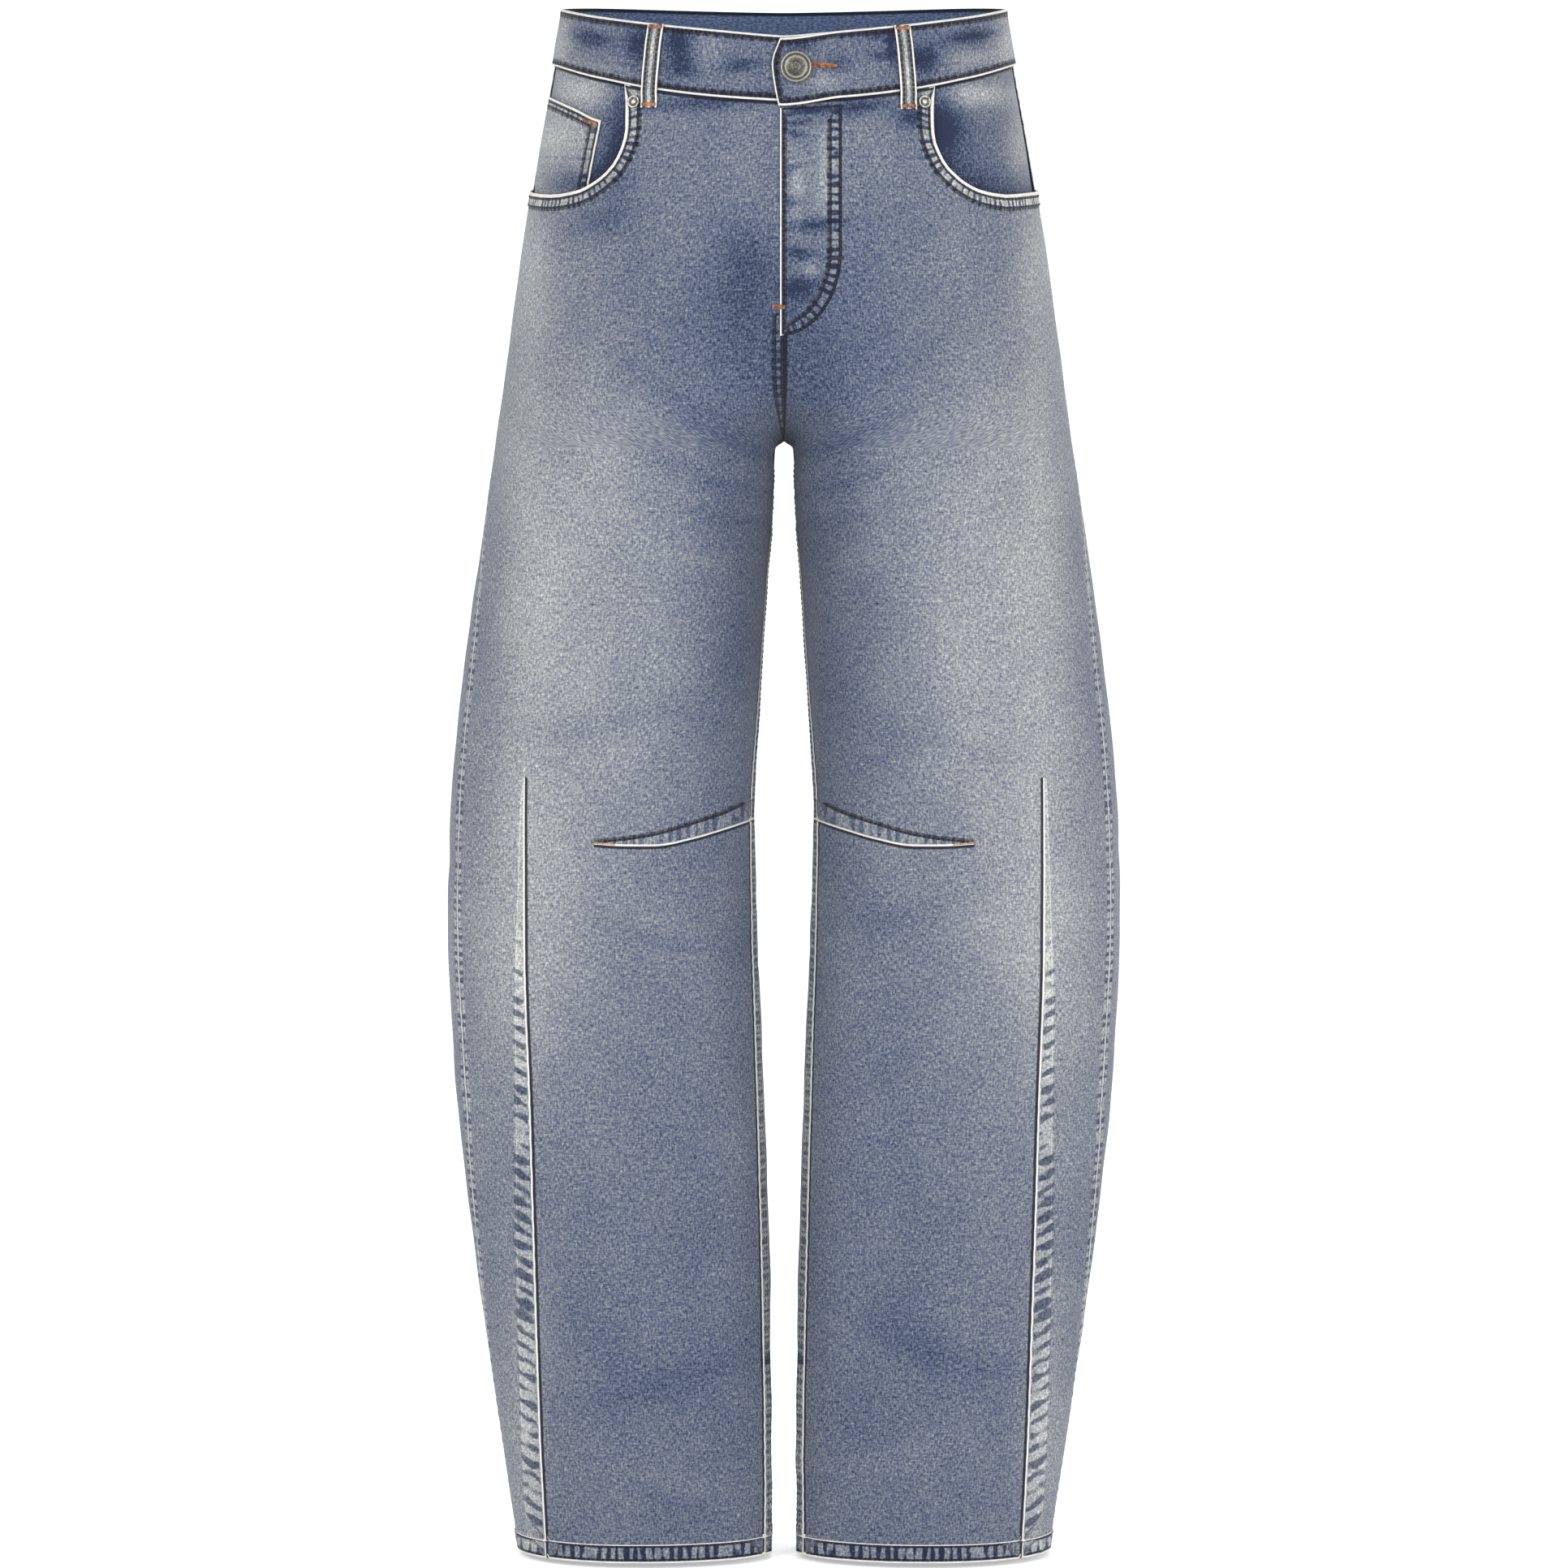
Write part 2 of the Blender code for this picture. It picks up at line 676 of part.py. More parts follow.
def back_pocket(side, panel):
    """A plain five-sided patch pocket."""
    columns = range(POCKET_FIRST, POCKET_LAST + 1)
    heights = []
    for column in columns:
        share = back_share(side, column, BACK_POCKET_LEVELS[0])
        across = 2 * (column - POCKET_FIRST) / (POCKET_LAST - POCKET_FIRST) - 1
        top = yoke_seam(share) - BACK_POCKET_TOP
        foot = top - mix(BACK_POCKET_LENGTH, BACK_POCKET_SIDES, abs(across))
        heights.append([top, top - POCKET_HEM, mix(top - POCKET_HEM, RULED_TO, 0.5), RULED_TO, SPLIT])
        step = (SPLIT - foot) / POCKET_FOOT_ROWS
        heights[-1] += [on_row(SPLIT - step * k, step) for k in range(1, POCKET_FOOT_ROWS)] + [foot]
    rows = len(heights[0])
    raised = [RAISED, RAISED] + [0.0] * (rows - 2)
    gaps = [PATCH_GAP] * (rows - POCKET_FOOT_ROWS) + [SEAT_GAP] * POCKET_FOOT_ROWS
    outside, inside = patch(panel, columns, heights, raised, gaps, PATCH_WALL)
    wall("back_pocket_" + side_name(side), outside, inside, "denim")


# The facing that shows inside the scoop, seen from the front. Its near edge runs under the front panel,
# and its middle line is the coin pocket's stitched side.
FACING_NEAR = (
    # x      z
    (0.0850, -0.0350),
    (0.0840, -0.0580),
    (0.0890, -0.0800),
    (0.1000, -0.1010),
    (0.1170, -0.1180),
)
FACING_LINE = ((0.1135, -0.0300), (0.1330, -0.1205))
FACING_FOOT = -0.1215
FACING_GAPS = (0.0008, 0.0010, 0.0012, 0.0018, 0.0024)
LINE_COLUMN = 5
FACING_COLUMNS = 9


def facing_grid(side):
    """The facing's (share, z) points, from its side seam to its near edge."""
    grid = []
    last = len(FACING_NEAR) - 1
    for row, near in enumerate(FACING_NEAR):
        part = row / last
        at_line = [mix(a, b, part) for a, b in zip(*FACING_LINE)]
        line, edge = (
            (share_of_x(side, z, x + side * FRONT_SHIFT), z) for x, z in (at_line, near)
        )
        places = []
        for column in range(FACING_COLUMNS):
            if column <= LINE_COLUMN:
                start, end, between = (0.0, mix(0.0, FACING_FOOT, part)), line, column / LINE_COLUMN
            else:
                start, end = line, edge
                between = (column - LINE_COLUMN) / (FACING_COLUMNS - 1 - LINE_COLUMN)
            share = mix(start[0], end[0], between)
            top = waist_seam(True, share)
            foot = mix(FACING_FOOT, FACING_NEAR[-1][1], column / (FACING_COLUMNS - 1))
            places.append((share, mix(top, foot, part)))
        grid.append(places)
    return grid


# The coin pocket on the wearer's right facing: the heights of its top at the side seam and at its corner,
# its rows, how far down the facing its foot is looked up, and how far it stays from the scoop
COIN_TOP = (-0.0370, -0.0545)
COIN_PARTS = (0.0, 0.2, 0.6, 1.0)
COIN_FOOT_PART = 0.3
COIN_CLEAR = 0.0016


def scoop_height(side, share):
    """The height of the scoop's edge at a share of the front panel's width."""
    points = scoop_points(side)[::-1]
    for (first, z), (second, next_z) in zip(points, points[1:]):
        if first <= share <= second:
            return mix(z, next_z, (share - first) / (second - first))
    return points[0][1]


def pocket_facing(side):
    """The cloth inside the pocket's scoop, tucked under the front panel, with the coin pocket on one."""
    grid = facing_grid(side)
    outside, inside = [], []
    for places, gap in zip(grid, FACING_GAPS):
        out = -WALL - gap
        outside.append([on_panel(side, True, share, z, 0.0, out) for share, z in places])
        inside.append([on_panel(side, True, share, z, 0.0, out - FACING_WALL) for share, z in places])
    wall("pocket_facing_" + side_name(side), outside, inside, "denim_dark")
    if side > 0:
        return
    columns = range(LINE_COLUMN + 1)
    heights = []
    for column in columns:
        top = mix(*COIN_TOP, column / LINE_COLUMN)
        share = mix(grid[3][column][0], grid[2][column][0], COIN_FOOT_PART)
        foot = scoop_height(side, share) + COIN_CLEAR
        heights.append([mix(top, foot, part) for part in COIN_PARTS])
    rows = len(COIN_PARTS)
    outside, inside = patch(outside, columns, heights, [0.0] * rows, [PATCH_GAP] * rows, PATCH_WALL)
    wall("coin_pocket", outside, inside, "denim_light")


# The fly's stitched placket, over both fronts, seen from the front
FLY_EDGE = -0.0026
FLY_WIDTH = 0.0380
FLY_STRAIGHT = -0.1400
FLY_FOOT = -0.1960
FLY_TOP_GAP = 0.0045
FLY_COLUMNS = (FLY_EDGE, 0.0, 0.008, 0.016, 0.024, 0.031, 0.036, FLY_WIDTH)
FLY_PARTS = (0.0, 0.2, 0.4, 0.6, 0.75, 0.88, 1.0)


def angle_of_x(x, z):
    """The angle round a leg that is seen at x from the front, above the crotch."""
    half, mid, _front, _back, _middle, square = section(z)
    reach = (abs(x) - mid) / half
    return math.acos(math.copysign(abs(reach) ** (square / 2), reach))


def fly_height(x, part):
    """A placket's point goes down straight, and its foot curves back to the fly's edge."""
    turn = 90.0 - math.degrees(angle_of_x(x, WAIST_LEVEL))
    seam = along(WAIST, WAIST_SEAM, turn) - FLY_TOP_GAP
    curve = min(1.0, max(0.0, (x - FLY_EDGE) / (FLY_WIDTH - FLY_EDGE)))
    foot = mix(FLY_STRAIGHT, FLY_FOOT, math.sqrt(1 - curve**2))
    return mix(seam, foot, part)


def front_point(x, z, out):
    """A point of the front above the crotch, seen at x from the front."""
    found = skin(1 if x >= 0 else -1, angle_of_x(x, z), z, out)
    found.x = x
    return found


def fly_placket():
    """The stitched double layer beside the fly, from its edge to the J-shaped stitching."""
    outside, inside = [], []
    for part in FLY_PARTS:
        places = [(x, fly_height(x, part)) for x in FLY_COLUMNS]
        outside.append([front_point(x, z, SEAM_GAP + PLACKET_WALL) for x, z in places])
        inside.append([front_point(x, z, SEAM_GAP) for x, z in places])
    wall("fly_placket", outside, inside, "denim_light")


# The waistband's free end over the other: the turn where it starts to lift, and how far it lies out
LIFT_FROM = 26.0
LIFT_TO = 11.0
LIFT = WALL + BAND_OUT + SEAM_GAP
UNDER_END = 8.5
BAND_ROWS = (0.0, 0.38, 0.72, 1.0)
BAND_END_X = (-0.0027, -0.0080, -0.0062, -0.0037)
FLAP_DROP = 0.0030

# The turns in degrees at which the waistband has a column: on the end that laps over, on each half, and on
# the end that lies under
OVER_TURNS = (1.6, 5.0, 8.0, 11.0, 15.0, 19.0, 23.0, 27.0)
HALF_TURNS = [34.0 + 9.125 * k for k in range(17)]
UNDER_TURNS = (25.0, 15.0, 8.0, 1.6)


def band_point(side, turn, part, out, lift=0.0, x=None):
    """A point of the waistband at a turn from the middle of the front, lifted where it laps over."""
    z = mix(along(WAIST, WAIST_TOP, turn), along(WAIST, WAIST_SEAM, turn), part) + HALF_GAP * part
    if lift:
        z -= FLAP_DROP * smoothstep(1.0 - turn / LIFT_TO) * mix(0.5, 1.0, part)
    out += lift * LIFT
    if x is not None:
        return front_point(x, z, out)
    angle = turn_angle(turn)
    half, mid, front, back, middle, square = section(z)
    across = (half + out) * abs(math.cos(angle)) ** (2 / square)
    depth = (front if turn <= 90 else back) + out
    y = middle - math.copysign(depth * abs(math.sin(angle)) ** (2 / square), math.sin(angle))
    return Vector((side * across, y, z))


def waistband():
    """One folded strip round the waist, whose wearer's left end laps over the other with a pointed end."""
    outside, inside = [], []
    for part, end in zip(BAND_ROWS, BAND_END_X):
        for out, rows in ((BAND_OUT, outside), (-WALL, inside)):
            row = [band_point(+1, 0.0, part, out, 1.0, end)]
            for turn in OVER_TURNS:
                lift = smoothstep((LIFT_FROM - turn) / (LIFT_FROM - LIFT_TO))
                row.append(band_point(+1, turn, part, out, lift))
            row += [band_point(+1, turn, part, out) for turn in HALF_TURNS]
            row += [band_point(-1, turn, part, out) for turn in HALF_TURNS[-2::-1]]
            row += [band_point(-1, turn, part, out) for turn in UNDER_TURNS]
            row.append(band_point(+1, UNDER_END, part, out))
            rows.append(row)
    wall("waistband", outside, inside, "denim")


# A belt loop from its top to its foot: its share of the length, and how far its inside is from the panel
LOOP_PROFILE = (
    # share  out
    (0.00, 0.0014),
    (0.10, 0.0020),
    (0.30, 0.0028),
    (0.55, 0.0028),
    (0.80, 0.0021),
    (0.90, 0.0009),
    (1.00, 0.0004),
)
LOOP_BELOW = 0.0120
LOOP_TOP_IN = 0.0002
BACK_TURN = 180.0
BESIDE = 0.02
LOOPS = (
    # name        turn   side
    ("front_right", 30.4, -1),
    ("front_left", 27.4, +1),
    ("side_right", 122.0, -1),
    ("side_left", 122.0, +1),
    ("back", 180.0, +1),
)


def belt_loop(name, turn, side):
    """A flat folded strip over the waistband, which stands off it a little between its sewn ends."""
    top = along(WAIST, WAIST_TOP, turn) - LOOP_TOP_IN
    foot = along(WAIST, WAIST_SEAM, turn) - LOOP_BELOW
    outside, inside = [], []
    for share, out in LOOP_PROFILE:
        z = mix(top, foot, share)
        angle = turn_angle(turn)
        middle = skin(side, angle, z, out)
        beside = skin(side, angle + BESIDE, z, out)
        across = Vector((beside.x - middle.x, beside.y - middle.y, 0)).normalized()
        if turn == BACK_TURN:
            middle.x = 0.0
            across = Vector((1, 0, 0))
        outward = Vector((-across.y, across.x, 0))
        if outward.dot(Vector((middle.x, middle.y, 0))) < 0:
            outward = -outward
        ends = [middle - across * LOOP_WIDTH / 2, middle + across * LOOP_WIDTH / 2]
        inside.append(ends)
        outside.append([end + outward * LOOP_WALL for end in ends])
    wall("belt_loop_" + name, outside, inside, "denim_light")


TURNED_STEPS = 24


def turned(name, profile, place, towards, colour):
    """A turned metal piece: its profile runs down the outside, from the middle of its face to its foot."""
    shape = bmesh.new()
    verts = [shape.verts.new((radius, 0, height)) for radius, height in profile]
    for start, end in zip(verts, verts[1:]):
        shape.edges.new((start, end))
    mesh = bpy.data.meshes.new(name)
    shape.to_mesh(mesh)
    shape.free()
    mesh.materials.append(material(name + "_metal", colour, metallic=0.9, roughness=0.4))
    made = bpy.data.objects.new(name, mesh)
    screw = made.modifiers.new("turn", "SCREW")
    screw.steps = screw.render_steps = TURNED_STEPS
    screw.use_merge_vertices = True
    screw.merge_threshold = 0.00001
    made.location = place
    made.rotation_mode = "QUATERNION"
    made.rotation_quaternion = towards.to_track_quat("Z", "Y")
    garment.objects.link(made)


BUTTON_RADIUS = 0.0103
BUTTON_PLACE = (0.0078, -0.0202)
BUTTON_PROFILE = (
    # radius share, height
    (0.000, 0.0036),
    (0.560, 0.0034),
    (0.620, 0.0040),
    (0.760, 0.0041),
    (0.820, 0.0034),
    (0.900, 0.0044),
    (1.000, 0.0038),
    (1.000, 0.0024),
    (0.860, 0.0018),
    (0.420, 0.0015),
    (0.420, 0.0000),
    (0.000, 0.0000),
)
RIVET_RADIUS = 0.0043
RIVET_PROFILE = (
    # radius share, height
    (0.000, 0.0018),
    (0.300, 0.0016),
    (0.480, 0.0009),
    (0.720, 0.0009),
    (0.900, 0.0011),
    (1.000, 0.0006),
    (1.000, 0.0000),
    (0.000, 0.0000),
)
RIVETS = (
    # name        x        z
    ("rivet_right", -0.0990, -0.0425),
    ("rivet_left", 0.0925, -0.0425),
)


# How far a flat metal foot stands off curved cloth beyond the seam gap, so that its rim clears it
BUTTON_SEAT = 0.0002
RIVET_SEAT = 0.0003
SLOPE_STEP = 0.002


def outward_at(x, z, out):
    """The direction straight out of the front, seen at x."""
    across = front_point(x + SLOPE_STEP, z, out) - front_point(x - SLOPE_STEP, z, out)
    up = front_point(x, z + SLOPE_STEP, out) - front_point(x, z - SLOPE_STEP, out)
    return across.cross(up).normalized()


def metal():
    """The waist button, and the two rivets at the pockets' inner corners."""
    x, z = BUTTON_PLACE
    out = BAND_OUT + LIFT + SEAM_GAP + BUTTON_SEAT
    profile = [(BUTTON_RADIUS * radius, height) for radius, height in BUTTON_PROFILE]
    turned("button", profile, front_point(x, z, out), outward_at(x, z, out), "metal")
    for name, x, z in RIVETS:
        out = RAISED + SEAM_GAP + RIVET_SEAT
        profile = [(RIVET_RADIUS * radius, height) for radius, height in RIVET_PROFILE]
        turned(name, profile, front_point(x, z, out), outward_at(x, z, out), "metal")


for old in list(bpy.data.objects):
    bpy.data.objects.remove(old, do_unlink=True)
garment = bpy.data.collections.new("jeans")
bpy.context.scene.collection.children.link(garment)

for half in (-1, +1):
    front_panel(half)
    back_panel(half)
    yoke(half)
    pocket_facing(half)
fly_placket()
waistband()
for loop in LOOPS:
    belt_loop(*loop)
metal()
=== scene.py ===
# %% [markdown]
# # Barrel-leg jeans
# Worn-looking denim jeans, filled out and hollow, with nobody in them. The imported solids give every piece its
# place. This script puts a fine cloth wall on each solid's form, and adds the sewing, the wear and the light.

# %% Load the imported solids
import math

import bmesh
import bpy
import numpy as np
from mathutils import Matrix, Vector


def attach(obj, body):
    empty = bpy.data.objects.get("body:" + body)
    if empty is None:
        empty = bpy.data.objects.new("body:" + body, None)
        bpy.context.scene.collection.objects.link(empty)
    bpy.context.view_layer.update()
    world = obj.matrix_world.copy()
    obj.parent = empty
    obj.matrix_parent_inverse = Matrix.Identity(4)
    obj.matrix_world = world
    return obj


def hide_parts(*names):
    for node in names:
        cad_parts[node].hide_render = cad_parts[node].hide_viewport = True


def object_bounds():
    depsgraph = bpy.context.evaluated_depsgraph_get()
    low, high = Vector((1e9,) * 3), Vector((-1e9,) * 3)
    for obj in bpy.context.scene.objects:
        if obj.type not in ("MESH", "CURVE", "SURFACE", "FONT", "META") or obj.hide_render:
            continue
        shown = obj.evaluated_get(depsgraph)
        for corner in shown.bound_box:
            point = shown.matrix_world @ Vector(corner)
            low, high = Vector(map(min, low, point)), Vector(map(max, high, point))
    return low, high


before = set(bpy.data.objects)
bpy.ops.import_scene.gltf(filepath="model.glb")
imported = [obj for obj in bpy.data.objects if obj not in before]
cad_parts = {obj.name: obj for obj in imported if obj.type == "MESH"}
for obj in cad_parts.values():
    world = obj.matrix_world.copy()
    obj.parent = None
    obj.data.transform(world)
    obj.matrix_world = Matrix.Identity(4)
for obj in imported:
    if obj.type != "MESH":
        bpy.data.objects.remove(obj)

cad_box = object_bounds()
print("solids:", len(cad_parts), "box:", [round(value, 4) for corner in cad_box for value in corner])

# %% [markdown]
# ## Camera, floor and light
# The picture was taken from a long way off, a little above the middle of the garment. The floor is a wide
# shallow bowl that curves up into a wall all round, as in a photo studio, so no horizon shows from any side.
# A bent plane would do for one view alone. One profile, spun round the garment, does for all. Large disks
# give soft, nearly even light.

# %% Camera
CAMERA_AWAY = 4.6
CAMERA_HEIGHT = -0.1
CAMERA_DOWN = math.radians(4.9886)
CAMERA_LENS = 156.437


def put_in_scene(name, data):
    made = bpy.data.objects.new(name, data)
    bpy.context.scene.collection.objects.link(made)
    return made


camera = put_in_scene("camera", bpy.data.cameras.new("camera"))
camera.location = (0, -CAMERA_AWAY, CAMERA_HEIGHT)
camera.rotation_euler = (math.pi / 2 - CAMERA_DOWN, 0, 0)
camera.data.lens = CAMERA_LENS
bpy.context.scene.camera = camera
bpy.context.scene.view_settings.view_transform = "Standard"

# %% Studio floor
FLOOR_BELOW = 0.004
FLOOR_RADIUS = 9.0
WALL_CURVE = 1.5
WALL_HEIGHT = 2.4
FLOOR_STEPS = 96


def spun(profile, steps, weld):
    """A profile of (radius, height) spun once round the Z axis, with its doubles merged."""
    shape = bmesh.new()
    verts = [shape.verts.new((radius, 0, height)) for radius, height in profile]
    edges = [shape.edges.new(pair) for pair in zip(verts, verts[1:])]
    bmesh.ops.spin(
        shape, geom=verts + edges, cent=(0, 0, 0), axis=(0, 0, 1), dvec=(0, 0, 0),
        angle=2 * math.pi, steps=steps, use_merge=True,
    )
    bmesh.ops.remove_doubles(shape, verts=shape.verts, dist=weld)
    return shape


floor_level = cad_box[0].z - FLOOR_BELOW
floor_profile = [(0.0, floor_level)]
for turn in np.linspace(0, math.pi / 2, 16):
    radius = FLOOR_RADIUS - WALL_CURVE * (1 - math.sin(turn))
    floor_profile.append((radius, floor_level + WALL_CURVE * (1 - math.cos(turn))))
floor_profile.append((FLOOR_RADIUS, floor_level + WALL_HEIGHT))
floor_shape = spun(floor_profile, FLOOR_STEPS, 1e-5)
floor_mesh = bpy.data.meshes.new("floor")
floor_shape.to_mesh(floor_mesh)
floor_shape.free()
floor_mesh.shade_smooth()
floor = put_in_scene("floor", floor_mesh)
print("floor faces:", len(floor_mesh.polygons), "radius:", FLOOR_RADIUS)

# %% Soft lights
LIGHTS = (
    # name    x     y     z     metres  watts
    ("key", -2.2, -3.4, 1.8, 2.4, 115.0),
    ("fill", 2.6, -3.2, 0.4, 2.6, 85.0),
    ("back", 0.6, 1.9, 1.9, 2.0, 50.0),
)
for light_name, x, y, z, size, watts in LIGHTS:
    light = bpy.data.lights.new(light_name, "AREA")
    light.shape = "DISK"
    light.size = size
    light.energy = watts
    lamp = put_in_scene(light_name, light)
    lamp.location = (x, y, z)
    aim = (-lamp.location).normalized()
    lamp.rotation_mode = "QUATERNION"
    lamp.rotation_quaternion = aim.to_track_quat("-Z", "Y")
world = bpy.data.worlds.new("studio")
world.use_nodes = True
world.node_tree.nodes["Background"].inputs["Color"].default_value = (0.97, 0.98, 1.0, 1.0)
world.node_tree.nodes["Background"].inputs["Strength"].default_value = 0.62
bpy.context.scene.world = world
print("lights:", len(LIGHTS), "camera:", tuple(camera.location))

# %% [markdown]
# ## The form of the legs
# The solids were cut by formula: each height has a rounded, squarish section, and the legs part at the
# crotch. The same tables and formulas stand here, worked out for whole arrays at once, so that the cloth lies
# exactly on the solids and can be much finer than they are. Sculpting or a cloth simulation would also give a
# leg, but neither would stay on the solids to a fraction of a millimetre.

# %% Thicknesses, heights and bands
CLOTH = 0.0011
WALL = 0.0015
SEAM_GAP = 0.0003
HALF_GAP = SEAM_GAP / 2
RAISED = 0.0008
BAND_OUT = 0.001
SPLIT = -0.165
CROTCH = -0.27
RULED_TO = -0.15
HEM_TOP = -1.014
HEM = -1.026
POCKET_BAND = 0.0095
FELL_BAND = 0.012

SECTIONS = (
    # z      outer   inner   front   back    middle  square
    (+0.030, 0.1470, 0.0000, 0.0970, 0.1030, 0.0000, 2.30),
    (-0.017, 0.1548, 0.0000, 0.1030, 0.1110, 0.0000, 2.30),
    (-0.082, 0.1667, 0.0000, 0.1100, 0.1260, 0.0000, 2.30),
    (-0.147, 0.1773, 0.0000, 0.1150, 0.1360, 0.0010, 2.30),
    (-0.213, 0.1865, 0.0000, 0.1180, 0.1340, 0.0040, 2.28),
    (-0.270, 0.1946, 0.0000, 0.1160, 0.1220, 0.0080, 2.25),
    (-0.300, 0.1990, 0.0035, 0.1130, 0.1160, 0.0075, 2.22),
    (-0.340, 0.2048, 0.0096, 0.1090, 0.1090, 0.0055, 2.20),
    (-0.421, 0.2164, 0.0153, 0.0990, 0.0980, 0.0020, 2.20),
    (-0.520, 0.2261, 0.0199, 0.0890, 0.0870, 0.0000, 2.20),
    (-0.587, 0.2281, 0.0182, 0.0830, 0.0810, 0.0000, 2.20),
    (-0.687, 0.2246, 0.0144, 0.0760, 0.0750, 0.0020, 2.20),
    (-0.809, 0.2124, 0.0102, 0.0680, 0.0680, 0.0040, 2.20),
    (-0.920, 0.1974, 0.0070, 0.0620, 0.0620, 0.0050, 2.20),
    (-1.035, 0.1805, 0.0043, 0.0580, 0.0580, 0.0050, 2.20),
)
GAP_OPEN = 0.004
GAP = (
    # z      half gap between the legs
    (-0.2695, HALF_GAP),
    (-0.2725, 0.0050),
    (-0.2780, 0.0062),
    (-0.3000, 0.0074),
    (-0.3400, 0.0092),
)
SIDE_SEAM = (
    # z      degrees from the outer side, forwards
    (-0.250, -4.0),
    (-0.290, 1.0),
    (-0.321, 9.0),
    (-0.353, 16.0),
    (-0.407, 21.5),
    (-0.520, 23.5),
    (-0.707, 24.0),
    (-0.760, 20.0),
    (-0.835, 14.5),
    (-0.900, 7.0),
    (-0.960, 3.0),
    (-1.035, 1.0),
)
INSEAM = (
    # z      degrees
    (-0.270, 180.0),
    (-0.420, 178.0),
    (-0.530, 172.0),
    (-0.957, 166.5),
    (-1.035, 163.0),
)
MM = 0.001
FOLDS = (
    # side, z, degrees, length, width in degrees, depth, the lengths in millimetres
    (+1, -330, 118, 70, 11, +2.2),
    (-1, -325, 122, 80, 12, +2),
    (+1, -640, 105, 150, 16, -2.6),
    (-1, -620, 100, 160, 15, -2.4),
    (+1, -800, 70, 170, 13, +2.4),
    (-1, -830, 74, 150, 14, +2.6),
    (+1, -860, 120, 160, 14, -2.6),
    (-1, -850, 116, 170, 15, -2.4),
    (+1, -330, -128, 70, 12, -4),
    (-1, -335, -124, 80, 13, -3.8),
    (+1, -390, -100, 60, 20, +3),
    (-1, -385, -104, 65, 18, +3),
    (+1, -570, -110, 50, 26, -3.6),
    (-1, -580, -106, 50, 28, -3.4),
    (+1, -800, -80, 180, 16, -3),
    (-1, -790, -84, 170, 15, -3),
    (+1, -860, -125, 160, 15, +2.6),
    (-1, -850, -120, 170, 15, +2.8),
)
print("sections:", len(SECTIONS), "large folds:", len(FOLDS))


# %% Smooth curves through short tables
def smoothstep(value):
    """0 before 0, 1 after 1, and an even S between them."""
    value = np.clip(value, 0.0, 1.0)
    return value * value * (3 - 2 * value)


def mix(start, end, share):
    return start + (end - start) * share


def slopes(places, values):
    """The slope at each place, so that the curve through the values never overshoots them."""
    steps = np.diff(places)
    rises = np.diff(values) / steps
    found = np.zeros(len(places))
    found[0], found[-1] = rises[0], rises[-1]
    before, after, near, far = rises[:-1], rises[1:], steps[:-1], steps[1:]
    same = before * after > 0
    first, second = (2 * far + near)[same], (far + 2 * near)[same]
    found[1:-1][same] = (first + second) / (first / before[same] + second / after[same])
    return found


def along(table, column, place):
    """A column's value at each place along the table's first column."""
    rows = np.array(table, float)
    rows = rows[np.argsort(rows[:, 0])]
    places, values = rows[:, 0], rows[:, column]
    place = np.clip(place, places[0], places[-1])
    row = np.clip(np.searchsorted(places, place, side="right") - 1, 0, len(places) - 2)
    step = places[row + 1] - places[row]
    t = (place - places[row]) / step
    slope = slopes(places, values)
    return (
        (2 * t**3 - 3 * t**2 + 1) * values[row]
        + (t**3 - 2 * t**2 + t) * step * slope[row]
        + (3 * t**2 - 2 * t**3) * values[row + 1]
        + (t**3 - t**2) * step * slope[row + 1]
    )


# %% The skin of a leg
def signed_power(value, power):
    """A power that keeps the sign, which squares off a round section."""
    return np.sign(value) * np.abs(value) ** power


def section(z):
    """A leg's half width, middle x, front depth, back depth, middle y and squareness at each height."""
    outer, inner, front, back, middle, square = (along(SECTIONS, column, z) for column in range(1, 7))
    inner = inner - outer * (1.0 - smoothstep((SPLIT - z) / (SPLIT - CROTCH)))
    half = (outer - inner) / 2
    return half, inner + half, front, back, middle, square


def fold(side, angle, z):
    """How far the largest soft folds move the cloth out."""
    total = 0.0
    for on, height, degrees, length, width, depth in FOLDS:
        if on == side:
            across = (np.degrees(angle) - degrees) / width
            total = total + depth * MM * np.exp(-(((z / MM - height) / length) ** 2) - across**2)
    return total


def skin(side, angle, z, out=0.0):
    """Points of the garment's outside, or moved out from it, round one leg from its outer side."""
    angle, z, out = np.broadcast_arrays(*(np.asarray(value, float) for value in (angle, z, out)))
    half, mid, front, back, middle, square = section(z)
    out = out + fold(side, angle, z)
    cosine, sine = np.cos(angle), np.sin(angle)
    x = mid + (half + out) * signed_power(cosine, 2 / square)
    depth = np.where(sine > 0, front, back)
    y = middle - (depth + out) * signed_power(sine, 2 / square)
    least = along(GAP, 1, z)
    least = least - out * np.minimum(1.0, (least - HALF_GAP) / GAP_OPEN)
    return np.stack([side * np.maximum(x, least), y, z], axis=-1)


print("outer thigh at x:", round(float(skin(+1, 0.0, CROTCH)[0]), 4))

# %% [markdown]
# ## Panels of cloth on that form
# A panel is laid out by its share of the way from the side seam to its inner edge, and by height. Equal
# shares have to be equal lengths of cloth, so the outline is measured once at every millimetre of height and
# looked up from then on.

# %% Measure the panels
LEVEL_STEP = 0.001
LEVELS = np.arange(0.03, -1.036, -LEVEL_STEP)
STEPS = 128
EVEN = np.linspace(0.0, 1.0, STEPS + 1)
outlines = {}


